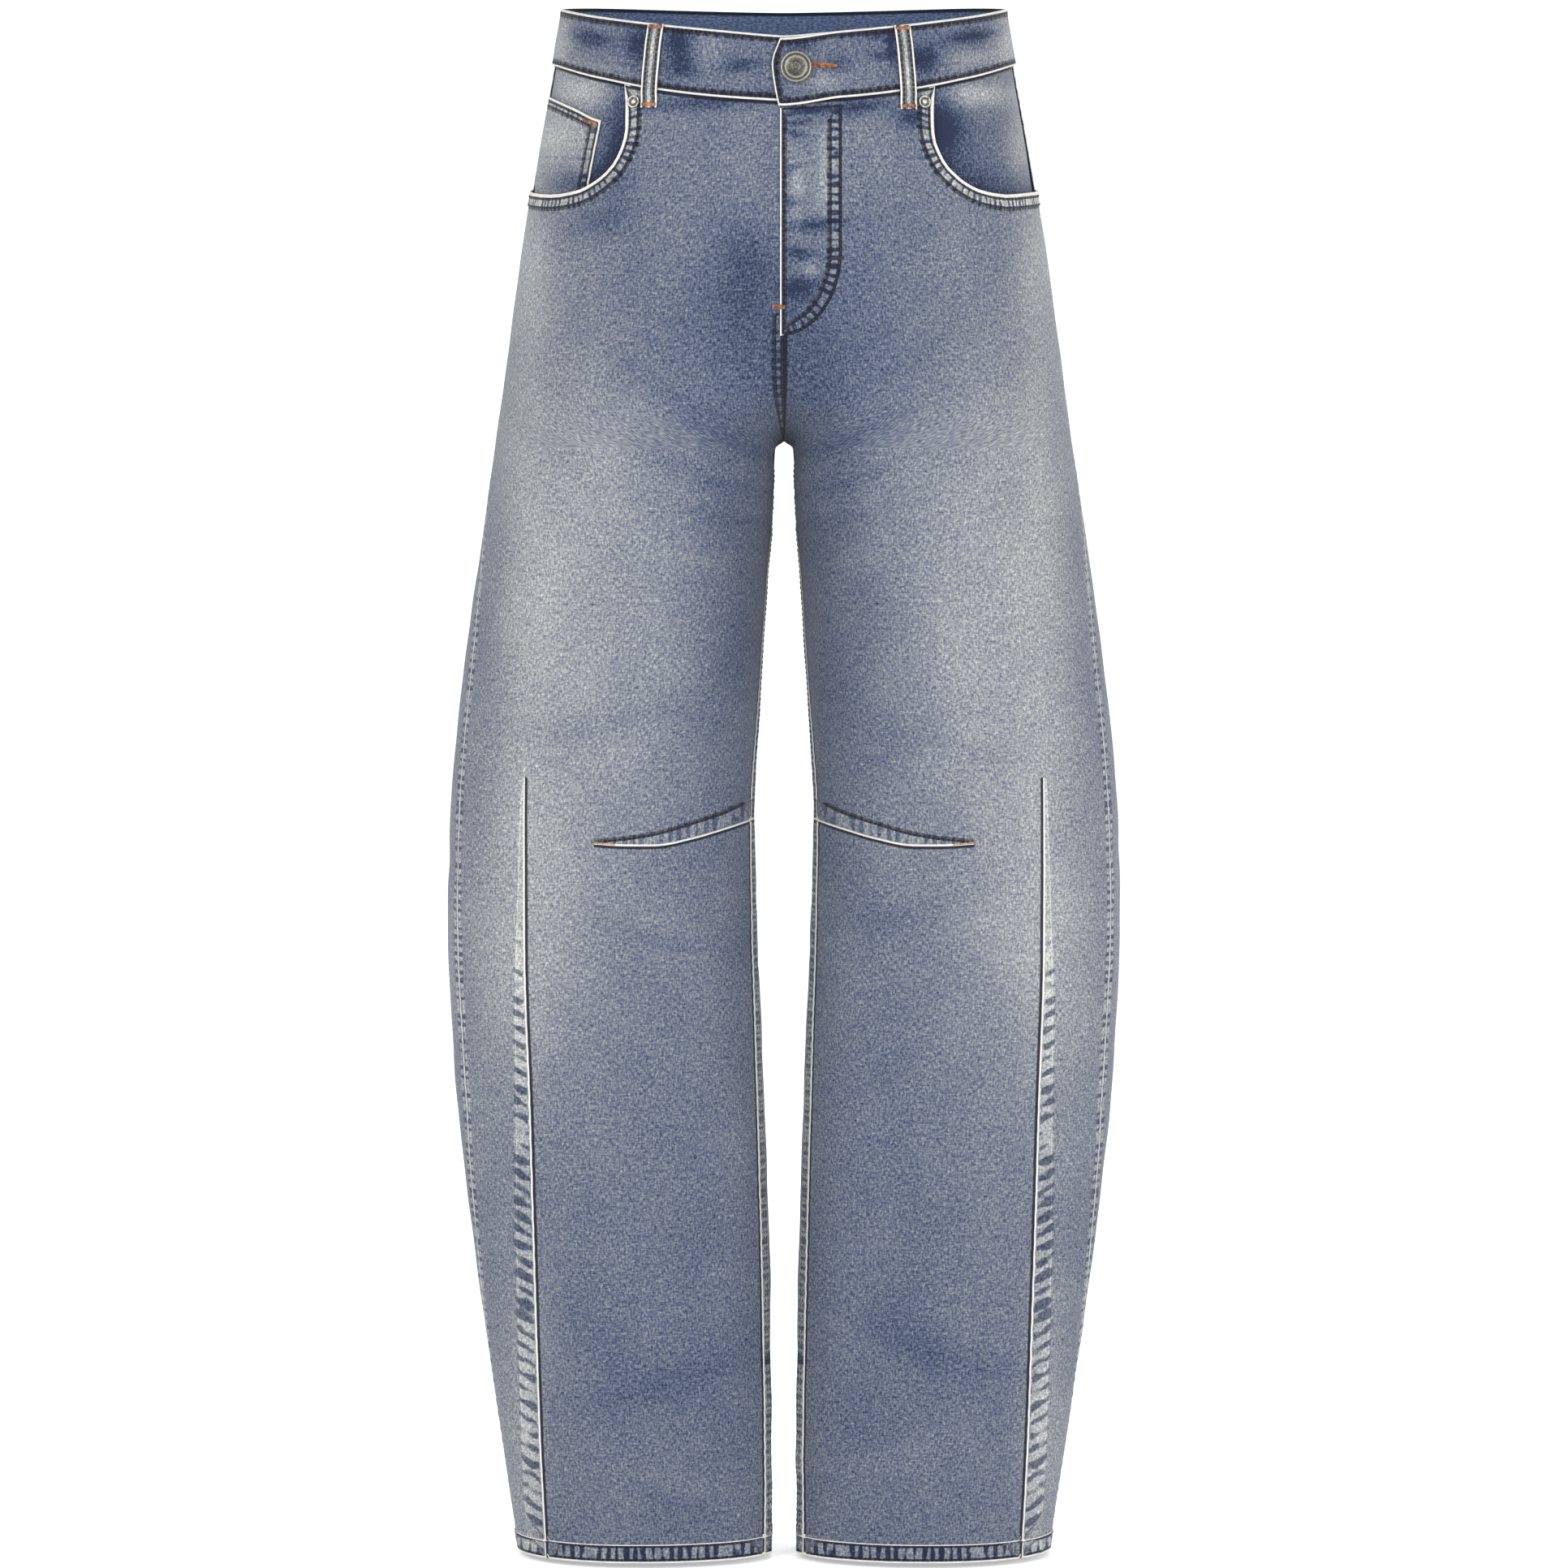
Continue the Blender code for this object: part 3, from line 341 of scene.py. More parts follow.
def measure(side, forwards):
    """Keeps both edges' angles, the width, the angles at even shares and the shares at even angles."""
    start = np.radians(along(SIDE_SEAM, 1, LEVELS))
    half, mid, _front, _back, _middle, square = section(LEVELS)
    inseam = np.radians(along(INSEAM, 1, LEVELS))
    inseam = inseam if forwards else 2 * math.pi - inseam
    reach = np.clip(signed_power(-mid / half, square / 2), -1.0, 1.0)
    end = np.where(LEVELS < CROTCH, inseam, np.minimum(inseam, np.arccos(reach)))
    end = end if forwards else -end
    angles = start[:, None] + (end - start)[:, None] * EVEN
    points = skin(side, angles, LEVELS[:, None])
    steps = np.linalg.norm(np.diff(points, axis=1), axis=-1)
    run = np.concatenate([np.zeros((len(LEVELS), 1)), np.cumsum(steps, axis=1)], axis=1)
    width = run[:, -1]
    shares = (run - HALF_GAP) / (width[:, None] - SEAM_GAP)
    even_angles = np.array([np.interp(EVEN, *pair) for pair in zip(shares, angles)])
    outlines[side, forwards] = start, end, width, even_angles, shares


for half_side in (-1, +1):
    for is_front in (True, False):
        measure(half_side, is_front)


def looked_up(grid, z, across):
    """A measured value at each height and share, between the nearest four."""
    row = np.clip((LEVELS[0] - z) / LEVEL_STEP, 0, len(LEVELS) - 1.001)
    column = np.clip(across * STEPS, 0, STEPS - 0.001)
    r, c = row.astype(int), column.astype(int)
    down, right = row - r, column - c
    upper = mix(grid[r, c], grid[r, c + 1], right)
    return mix(upper, mix(grid[r + 1, c], grid[r + 1, c + 1], right), down)


def width_at(side, forwards, z):
    return np.interp(-np.asarray(z), -LEVELS, outlines[side, forwards][2])


def angle_at(side, forwards, z, share):
    z, share = np.broadcast_arrays(np.asarray(z, float), np.asarray(share, float))
    return looked_up(outlines[side, forwards][3], z, share)


def share_of_x(side, forwards, z, x):
    """The share of a panel's width that is seen at x from the front or from behind."""
    z, x = np.broadcast_arrays(np.asarray(z, float), np.asarray(x, float))
    half, mid, _front, _back, _middle, square = section(z)
    reach = np.clip((x - mid) / half, -1.0, 1.0)
    angle = np.arccos(signed_power(reach, square / 2)) * (1 if forwards else -1)
    start, end = (np.interp(-z, -LEVELS, outlines[side, forwards][k]) for k in (0, 1))
    return looked_up(outlines[side, forwards][4], z, (angle - start) / (end - start))


def on_panel(side, forwards, share, z, out=0.0):
    """Points of a panel, or moved out from it."""
    return skin(side, angle_at(side, forwards, z, share), z, out)


print("panel widths at the thigh:", [round(float(width_at(+1, front, -0.35)), 4) for front in (True, False)])

# %% [markdown]
# ## Where the sewn lines run
# These are the garment's seams: the waistband, the pocket's scoop, the long dart down the outer front of each
# leg, the short dart across the inner knee, and the yoke. They are the same few numbers as in the solids.

# %% Sewn lines
WAIST = (
    # turn   top      seam
    (0.0, 0.0005, -0.0425),
    (14.0, 0.0044, -0.0395),
    (30.0, 0.0084, -0.0345),
    (48.0, 0.0129, -0.0275),
    (76.0, 0.0188, -0.0188),
    (90.0, 0.0205, -0.0172),
    (130.0, 0.0225, -0.0175),
    (180.0, 0.0205, -0.0200),
)
WAIST_TOP, WAIST_SEAM = 1, 2
SCOOP = (
    # x      z
    (0.1020, -0.0330),
    (0.1010, -0.0480),
    (0.1015, -0.0640),
    (0.1075, -0.0805),
    (0.1190, -0.0930),
    (0.1335, -0.1008),
    (0.1500, -0.1036),
    (0.1640, -0.1025),
)
SCOOP_END = -0.1005
FRONT_SHIFT = -0.003
SIDE_DART = (
    # z      x       width
    (-0.478, 0.1717, 0.0012),
    (-0.490, 0.1725, 0.0020),
    (-0.560, 0.1729, 0.0046),
    (-0.612, 0.1728, 0.0064),
    (-0.711, 0.1697, 0.0100),
    (-0.839, 0.1669, 0.0128),
    (-0.928, 0.1649, 0.0130),
    (-1.035, 0.1605, 0.0135),
)
DART_X, DART_WIDTH = 1, 2
DART_TIP = -0.478
DART_FREE = -0.4
DART_STEP = 0.0005
DART_EASE = 0.12
KNEE_DART = (
    # x      above    below
    (0.0000, -0.5050, -0.5215),
    (0.0240, -0.5098, -0.5242),
    (0.0409, -0.5154, -0.5275),
    (0.0606, -0.5207, -0.5320),
    (0.0861, -0.5274, -0.5360),
    (0.1088, -0.5306, -0.5356),
    (0.1300, -0.5320, -0.5342),
    (0.1600, -0.5290, -0.5390),
    (0.2300, -0.5240, -0.5450),
)
KNEE_DART_TIP = 0.13
KNEE_LEVEL = -0.527
KNEE_ROWS_END = -0.575
ABOVE, BELOW = 1, 2
YOKE_SIDE = -0.056
YOKE_MIDDLE = -0.092
YOKE_CURVE = 0.45
FELL_TOP = CROTCH - 0.01
FELL_EASE = 0.02


def waist_seam(forwards, share):
    """The height of the seam under the waistband at each share of a panel's width."""
    height = along(WAIST, WAIST_SEAM, 90.0)
    for _again in range(2):
        turn = 90.0 - np.degrees(angle_at(+1, forwards, height, share))
        height = along(WAIST, WAIST_SEAM, turn)
    return height - HALF_GAP


def yoke_seam(share):
    """The height of the seam under the yoke, which dips to the middle of the back."""
    return mix(YOKE_SIDE, YOKE_MIDDLE, smoothstep(share) * YOKE_CURVE + share * (1.0 - YOKE_CURVE))


def scoop_line(side, count=90):
    """The pocket's scoop as rows of (share, z), evenly from the side seam to the waist seam."""
    table = np.array(SCOOP + ((0.0, SCOOP_END),))
    share = share_of_x(side, True, table[:, 1], table[:, 0] + side * FRONT_SHIFT)
    share[-1] = 0.0
    places = np.stack([share, table[:, 1]], axis=-1)
    places[0, 1] = waist_seam(True, places[0, 0])
    chart = places * [width_at(side, True, -0.08), 1.0]
    run = np.concatenate([[0.0], np.cumsum(np.linalg.norm(np.diff(chart, axis=0), axis=-1))])
    table = np.column_stack([run, places])
    at = np.linspace(run[-1], 0.0, count)
    return np.stack([along(table, 1, at), along(table, 2, at)], axis=-1)


def in_metres(side, line):
    """A line of (share, z) on a front as a line of metres across and up."""
    return np.stack([line[:, 0] * width_at(side, True, line[:, 1]), line[:, 1]], axis=-1)


def nearest(places, line):
    """How far each place is from a line of points, and how far along the line that is."""
    start, step = line[:-1], np.diff(line, axis=0)
    size = np.linalg.norm(step, axis=-1)
    flat = places.reshape(-1, 1, 2) - start
    t = np.clip((flat * step).sum(-1) / size**2, 0.0, 1.0)
    away = np.linalg.norm(flat - t[..., None] * step, axis=-1)
    best = away.argmin(axis=1)
    rows = np.arange(len(best))
    run = np.concatenate([[0.0], np.cumsum(size)])[best] + t[rows, best] * size[best]
    return away[rows, best].reshape(places.shape[:-1]), run.reshape(places.shape[:-1])


scoop_steps = np.diff(in_metres(+1, scoop_line(+1)), axis=0)
print("pocket scoop length:", round(float(np.linalg.norm(scoop_steps, axis=-1).sum()), 4))

# %% [markdown]
# ## Wear
# Denim fades where it rubs and stays dark in its folds. A fade map says how light the cloth is at each place,
# as listed soft ovals. An image could be painted for it, but ovals need no file and move by a number.

# %% Fade patches
FADE_BASE = 0.355
FRONT_FADES = (
    # x, z, across and up in millimetres, amount, on both legs and seen from the front
    (130, -360, 60, 200, +0.21),
    (172, -300, 22, 260, +0.17),
    (180, -600, 56, 120, +0.19),
    (198, -800, 30, 300, +0.04),
    (60, -900, 80, 180, -0.05),
    (178, -950, 16, 120, +0.2),
    (20, -100, 18, 60, +0.05),
    (10, -200, 30, 60, -0.16),
    (30, -370, 30, 160, -0.07),
    (172, -140, 16, 45, +0.15),
    (60, -190, 60, 60, -0.09),
)
BACK_FADES = (
    (80, -200, 60, 80, +0.2),
    (110, -420, 50, 110, +0.18),
    (100, -600, 70, 60, -0.08),
    (178, -320, 34, 250, +0.24),
    (30, -330, 30, 100, -0.14),
    (100, -760, 60, 130, +0.08),
    (195, -760, 30, 250, +0.16),
)
MARKS = (
    # x, z, across and up in millimetres, tilt, amount, small patches on the front alone
    (-128, -0.5, 13, 4, -12, -0.42),
    (-96, -5, 9, 10, 0, -0.39),
    (-69, -4, 8.5, 12, 0, -0.42),
    (-67, -20, 10, 5.5, 0, -0.31),
    (-28, -19, 12, 3, 5, -0.36),
    (-50, -8, 10, 11, 0, +0.14),
    (-151, 0, 11, 22, 0, +0.34),
    (-50, -43, 45, 5, 3, -0.25),
    (-135, -35, 26, 14, 0, +0.42),
    (-112, -80, 10, 22, 0, -0.17),
    (-140, -96, 22, 9, 0, -0.28),
    (-150, -65, 22, 14, 0, +0.2),
    (-118, -120, 20, 10, 20, -0.17),
    (+16, -48.5, 15, 2.6, 5, -0.5),
    (+10, -56.5, 10, 1.8, 8, -0.34),
    (+8, -63.5, 8, 2, -10, -0.31),
    (+6, -86, 7, 3, 20, -0.25),
    (+6, -108, 7, 3.5, 0, -0.28),
    (+22, -123, 18, 4.2, 5, -0.36),
    (+10, -142, 10, 4, -15, -0.28),
    (+9, -164, 11, 6, 10, -0.34),
    (+9, -98, 4.5, 20, 0, +0.22),
    (+26, -90, 5, 26, 0, +0.2),
    (+18, -152, 7, 6, 0, +0.2),
    (-24, -145, 18, 30, 0, -0.14),
    (+70, -2, 2.6, 12, 0, -0.5),
    (+92, -15, 10, 8.5, 0, -0.45),
    (+124, 1, 17, 3.4, 10, -0.48),
    (+60, 2, 12, 5.5, 0, -0.25),
    (+63, -12.5, 12, 3.5, 0, -0.28),
    (+36, -18, 8, 5, 0, -0.17),
    (+10, -5, 9, 4, 0, -0.25),
    (+150, 0, 11, 22, 0, +0.34),
    (+125, -14, 22, 5, 8, +0.2),
    (+26, -29, 14, 5, 0, +0.2),
    (+50, -46, 18, 5, 8, -0.36),
    (+83, -53, 10, 6, 0, -0.34),
    (+108, -60, 12, 15, 0, -0.34),
    (+130, -37, 28, 10, 0, +0.42),
    (+160, -70, 12, 30, 0, +0.28),
)


def soft_oval(x, z, at_x, at_z, across, up, tilt=0.0):
    """A soft oval patch, given in millimetres: 1 in its middle and 0 well outside."""
    x, z = x / MM, z / MM
    turn = math.radians(tilt)
    along_x = (x - at_x) * math.cos(turn) + (z - at_z) * math.sin(turn)
    along_z = (z - at_z) * math.cos(turn) - (x - at_x) * math.sin(turn)
    return np.exp(-((along_x / across) ** 2) - (along_z / up) ** 2)


def faded(side, points):
    """How light the cloth is at each point, from 0, dark, to 1, pale."""
    x, y, z = points[..., 0] * side, points[..., 1], points[..., 2]
    in_front = smoothstep((0.03 - y) / 0.06)
    front, back = np.full(x.shape, FADE_BASE), np.full(x.shape, FADE_BASE)
    for *place, amount in FRONT_FADES:
        front = front + amount * soft_oval(x, z, *place)
    for *place, amount in BACK_FADES:
        back = back + amount * soft_oval(x, z, *place)
    for *place, amount in MARKS:
        front = front + amount * soft_oval(points[..., 0], z, *place)
    return mix(back, front, in_front)


print("fade patches:", len(FRONT_FADES) + len(BACK_FADES), "small marks:", len(MARKS))

# %% [markdown]
# ## Creases
# Worn cloth is never quite smooth. Each crease here is one long soft ridge or hollow, a millimetre or two
# deep, and slow waves make the rest uneven. A cloth simulation could fold the legs by itself, but the garment
# stands filled out on its own form, so a few placed creases show just what is needed.

# %% Soft unevenness and creases
CREASES = (
    # side, front, x, z, tilt, length, width, depth, the lengths in millimetres
    (0, 1, 45, -262, 28, 55, 6, -1.4),
    (0, 1, 52, -290, 20, 50, 5.5, -1.1),
    (0, 1, 40, -318, 12, 38, 5, -0.9),
    (0, 1, 60, -345, 8, 45, 6.5, +0.8),
    (1, 1, 80, -215, 35, 50, 7, -0.9),
    (-1, 1, 86, -228, 32, 46, 6.5, -1),
    (1, 1, 115, -470, -14, 60, 9, -1.2),
    (-1, 1, 125, -455, -10, 55, 9, -1.2),
    (1, 1, 70, -585, 12, 50, 8, -1.1),
    (-1, 1, 85, -600, 15, 55, 8, -1),
    (1, 1, 95, -880, -20, 70, 11, -1.3),
    (-1, 1, 80, -905, -16, 65, 11, -1.3),
    (1, 1, 50, -960, 10, 50, 10, +1.1),
    (-1, 1, 60, -975, 14, 50, 9.5, +1.1),
    (0, 0, 60, -285, -30, 60, 7, -1.8),
    (0, 0, 85, -310, -22, 70, 8, -1.7),
    (0, 0, 75, -345, -14, 60, 7, -1.4),
    (1, 0, 110, -545, -10, 80, 8.5, -2.2),
    (-1, 0, 105, -552, -8, 85, 8.5, -2.1),
    (1, 0, 100, -575, 6, 85, 7.5, -2),
    (-1, 0, 110, -583, 4, 80, 8, -2.1),
    (1, 0, 105, -606, 12, 75, 8.5, -1.8),
    (-1, 0, 100, -612, 14, 70, 8.5, -1.7),
    (1, 0, 100, -900, -14, 70, 11, -1.6),
    (-1, 0, 95, -920, -12, 75, 11, -1.6),
)


def creased(side, forwards, x, z):
    """The soft creases at each place, seen from the front or from behind, in metres out."""
    total = np.zeros(np.broadcast(x, z).shape)
    for on, front, at_x, at_z, tilt, length, width, depth in CREASES:
        if bool(front) != forwards or on == -side:
            continue
        turn = math.radians(tilt)
        from_x, from_z = x / MM - at_x, z / MM - at_z
        lengthwise = from_x * math.cos(turn) + from_z * math.sin(turn)
        across = from_z * math.cos(turn) - from_x * math.sin(turn)
        bend = across - 0.1 * lengthwise**2 / length
        total = total + depth * MM * np.exp(-((lengthwise / length) ** 2) - (bend / width) ** 2)
    return total


def uneven(side, x, z):
    """A slow unevenness of hand-worn cloth, under half a millimetre."""
    first = np.sin(x * 71.0 + 1.9 * side + 2.1 * np.sin(z * 23.0 + side)) * np.sin(z * 47.0 + 1.3 * side)
    second = np.sin(x * 133.0 - z * 61.0 + 0.7 * side) * np.sin(z * 88.0 + x * 37.0)
    return 0.00028 * first + 0.00016 * second


print("creases:", len(CREASES))

# %% [markdown]
# ## The nearest seam
# On real denim every seam has a rubbed rim, dark sewn lines and ropy puckers. Each seam here says how far a
# place is from its line (above 0 on its raised side), how wide its sewn band and its pale rim are, and how
# ropy it is. The nearest one counts, and the finish reads it there, so the wear always follows the sewing.

# %% Pick the nearest seam
FAR = 0.06
SEAM_COLUMNS = ("seam", "lap", "run", "band", "rim", "rope", "sewn")
SEWN_ONCE = 0.5
LAP_REACH = 0.004
ROPE_RISE = 0.00028


def seam(away, run, band, rim, rope, there=1.0, sewn=1.0):
    """One seam's facts. there is 0 beyond the seam's end, and sewn is 0 where no thread shows."""
    shape = np.broadcast(away, run).shape
    lap = np.clip(away, -LAP_REACH, LAP_REACH)
    distance = np.abs(away) + (1.0 - there) * FAR
    facts = (distance, lap, run, band, rim, rope, sewn)
    return [np.broadcast_to(value, shape).astype(float) for value in facts]


def nearest_seam(*seams):
    """The facts of whichever seam is nearest at each place, as a dictionary of arrays."""
    stacked = np.array(seams)
    best = stacked[:, 0].argmin(axis=0)
    chosen = np.take_along_axis(stacked, best[None, None], axis=0)[0]
    return dict(zip(SEAM_COLUMNS, chosen))


def plateau(away, width, edge=0.0007):
    """1 inside a band that starts at 0 and is this wide, with short soft shoulders."""
    return smoothstep(away / edge + 0.5) * smoothstep((width - away) / edge + 0.5)


def puckers(run, seed, period=0.0086):
    """Uneven waves along a seam, about -1 to 1."""
    drift = 1.7 * np.sin(run * 61.0 + seed) + 1.1 * np.sin(run * 143.0 + 2 * seed)
    strength = 0.65 + 0.35 * np.sin(run * 37.0 + 3 * seed)
    return strength * np.sin(2 * math.pi * run / period + drift)


def roping(facts):
    """How strongly a place is roped: full in the sewn band, and a little beside it."""
    beside = np.where(facts["lap"] > -1e-6, 1.0, 0.3)
    return facts["rope"] * beside * np.exp(-((facts["seam"] / (facts["band"] + 0.0022)) ** 2))


def roped_and_creased(facts, relief, seed, soft, z):
    """The relief with its ropy seams and soft creases. How far they rise is kept as a fact, too, which the
    finish turns into paler worn ridges and painted shade in the hollows.
    """
    rope = roping(facts)
    wave = puckers(facts["run"] + 0.15 * facts["seam"], seed + facts["band"] * 90)
    relief = relief + ROPE_RISE * rope * wave
    calm = smoothstep((facts["seam"] - 0.001) / 0.006)
    facts["rise"] = soft / 0.001 + rope * wave
    return relief + soft * mix(0.35, 1.0, calm) * smoothstep((-0.02 - z) / 0.05)


print("facts of a seam:", SEAM_COLUMNS)

# %% [markdown]
# ## Cloth as a thin closed wall
# A piece of cloth is a flat grid that is extruded once, so that it has an outside, an inside and closed
# edges. Its points are then put in their places. The grid's own coordinates say which row and column each
# point is, and they also give the UV map: metres on the flat cut, so that the weave follows the cloth. A
# Solidify modifier would thicken a sheet too, but here the inside lies where the solid's inside is.

# %% Make a piece of cloth
CUT = "cut"
made_triangles = {}


def face_outwards(mesh):
    """Turns a closed mesh the right way round if its volume says that it is inside out."""
    mesh.calc_loop_triangles()
    corners = np.empty(len(mesh.loop_triangles) * 3, np.int32)
    mesh.loop_triangles.foreach_get("vertices", corners)
    points = np.empty(len(mesh.vertices) * 3, np.float32)
    mesh.vertices.foreach_get("co", points)
    a, b, c = points.reshape(-1, 3)[corners.reshape(-1, 3)].astype(float).transpose(1, 0, 2)
    if (a * np.cross(b, c)).sum() < 0:
        mesh.flip_normals()
    made_triangles[mesh.name] = len(corners) // 3


def cloth(name, outside, inside, cut, facts):
    """A closed wall of cloth from its outside and inside points. cut is their places on the flat cut."""
    rows, columns = outside.shape[:2]
    slab = bmesh.new()
    bmesh.ops.create_grid(slab, x_segments=columns - 1, y_segments=rows - 1, size=0.5)
    bmesh.ops.scale(slab, vec=(columns - 1, rows - 1, 1), verts=slab.verts)
    bmesh.ops.translate(slab, vec=((columns - 1) / 2, (rows - 1) / 2, 0), verts=slab.verts)
    copied = bmesh.ops.extrude_face_region(slab, geom=slab.faces[:])
    lifted = [item for item in copied["geom"] if isinstance(item, bmesh.types.BMVert)]
    bmesh.ops.translate(slab, vec=(0, 0, 1), verts=lifted)
    bmesh.ops.recalc_face_normals(slab, faces=slab.faces)
    mesh = bpy.data.meshes.new(name)
    slab.to_mesh(mesh)
    slab.free()
    flat = np.empty(len(mesh.vertices) * 3, np.float32)
    mesh.vertices.foreach_get("co", flat)
    column, row, layer = np.rint(flat.reshape(-1, 3)).astype(int).T
    points = np.where(layer[:, None] == 1, outside[row, column], inside[row, column])
    mesh.vertices.foreach_set("co", points.astype(np.float32).ravel())
    corner = np.empty(len(mesh.loops), np.int32)
    mesh.loops.foreach_get("vertex_index", corner)
    uv = cut[row, column].astype(np.float32)[corner]
    mesh.uv_layers.new(name=CUT).data.foreach_set("uv", uv.ravel())
    kept_facts = {name_of: values[row, column] for name_of, values in facts.items()}
    kept_facts["inside"] = layer == 0
    for name_of, values in kept_facts.items():
        mesh.attributes.new(name_of, "FLOAT", "POINT").data.foreach_set("value", values.astype(np.float32))
    mesh.update()
    face_outwards(mesh)
    mesh.shade_smooth()
    mesh.set_sharp_from_angle(angle=math.radians(50))
    return put_in_scene(name, mesh)


def cell_areas(points):
    """The area of a grid of points, which is that of its flat cut."""
    down, right = np.diff(points[:, :-1], axis=0), np.diff(points[:-1], axis=1)
    return float(np.linalg.norm(np.cross(down, right), axis=-1).sum())


def graded(*stretches):
    """Places from 0 up, one stretch of steps for each whole number. The steps of each are (count, bias)."""
    found = [0.0]
    for number, (count, bias) in enumerate(stretches):
        t = np.linspace(0, 1, count + 1)[1:]
        found.extend(number + t - bias * np.sin(2 * math.pi * t) / (2 * math.pi))
    return np.array(found)


# %% [markdown]
# ## Front panels
# A real front is one piece of denim with a scooped corner for the pocket. Its long dart and its knee dart
# give the leg its barrel shape, and the inner seam is felled: its edge is folded over and sewn down twice, so
# it stands up as a band.

# %% The front's columns and heights
FRONT_KEYS = (0.0, 0.04, 0.16, 0.22, 0.34, 0.46, 0.58, 0.7, 0.82, 0.93, 1.0)
LAST = len(FRONT_KEYS) - 1
SCOOP_COLUMNS = 6
FRONT_COLUMNS = graded(
    (10, 0.5), (8, 0.5), (3, 0.0), (7, 0.3), (5, 0.0), (5, 0.0), (5, 0.0), (5, 0.0), (6, 0.3), (7, 0.5)
)
ROW = 0.0019


def front_share(side, position, z):
    """The share of the front's width at a place between its main columns, at each height."""
    position, z = np.broadcast_arrays(position, z)
    width = width_at(side, True, z)
    fell = 1.0 - FELL_BAND / width
    seam_x = along(SIDE_DART, DART_X, z)
    seam_line = share_of_x(side, True, z, seam_x)
    fold_line = share_of_x(side, True, z, seam_x + along(SIDE_DART, DART_WIDTH, z))
    first = seam_line + DART_STEP / width
    hold = smoothstep((DART_FREE - z) / (DART_FREE - DART_TIP))
    keys = []
    for column, even in enumerate(FRONT_KEYS):
        if column == 1:
            locked = fold_line
        elif column == 2:
            locked = seam_line
        else:
            locked = mix(first, fell, (column - 3) / (LAST - 4))
        if column in (0, LAST):
            keys.append(np.full(position.shape, even))
        elif column == LAST - 1:
            keys.append(fell)
        else:
            keys.append(mix(even, locked, hold))
    low = np.clip(position.astype(int), 0, LAST - 1)
    keys = np.array(keys)
    start = np.take_along_axis(keys, low[None], axis=0)[0]
    end = np.take_along_axis(keys, low[None] + 1, axis=0)[0]
    return mix(start, end, position - low)


def knee_line(side, line, share=None, position=None):
    """The height of the knee dart's line at each share or main column of the front."""
    z = np.full(np.shape(position if share is None else share), KNEE_LEVEL)
    for _again in range(3):
        at = front_share(side, position, z) if share is None else share
        z = along(KNEE_DART, line, np.abs(on_panel(side, True, at, z)[..., 0]))
    return z


def evenly(start, end, step=ROW):
    """Heights from after the first down to the last, at most a step apart."""
    count = max(1, int(math.ceil(abs(end - start) / step)))
    return [mix(start, end, (k + 1) / count) for k in range(count)]


CROTCH_HEIGHTS = [SPLIT - (SPLIT - CROTCH) * math.sin(math.pi / 2 * k / 46) for k in range(1, 46)]
BELOW_CROTCH = [-0.2699, -0.2704, -0.2709, -0.2714, -0.2719, -0.2725, -0.2735, -0.2745, -0.276, -0.278]
HEM_PARTS = (0.06, 0.14, 0.3, 0.5, 0.7, 0.86, 0.95, 1.0)


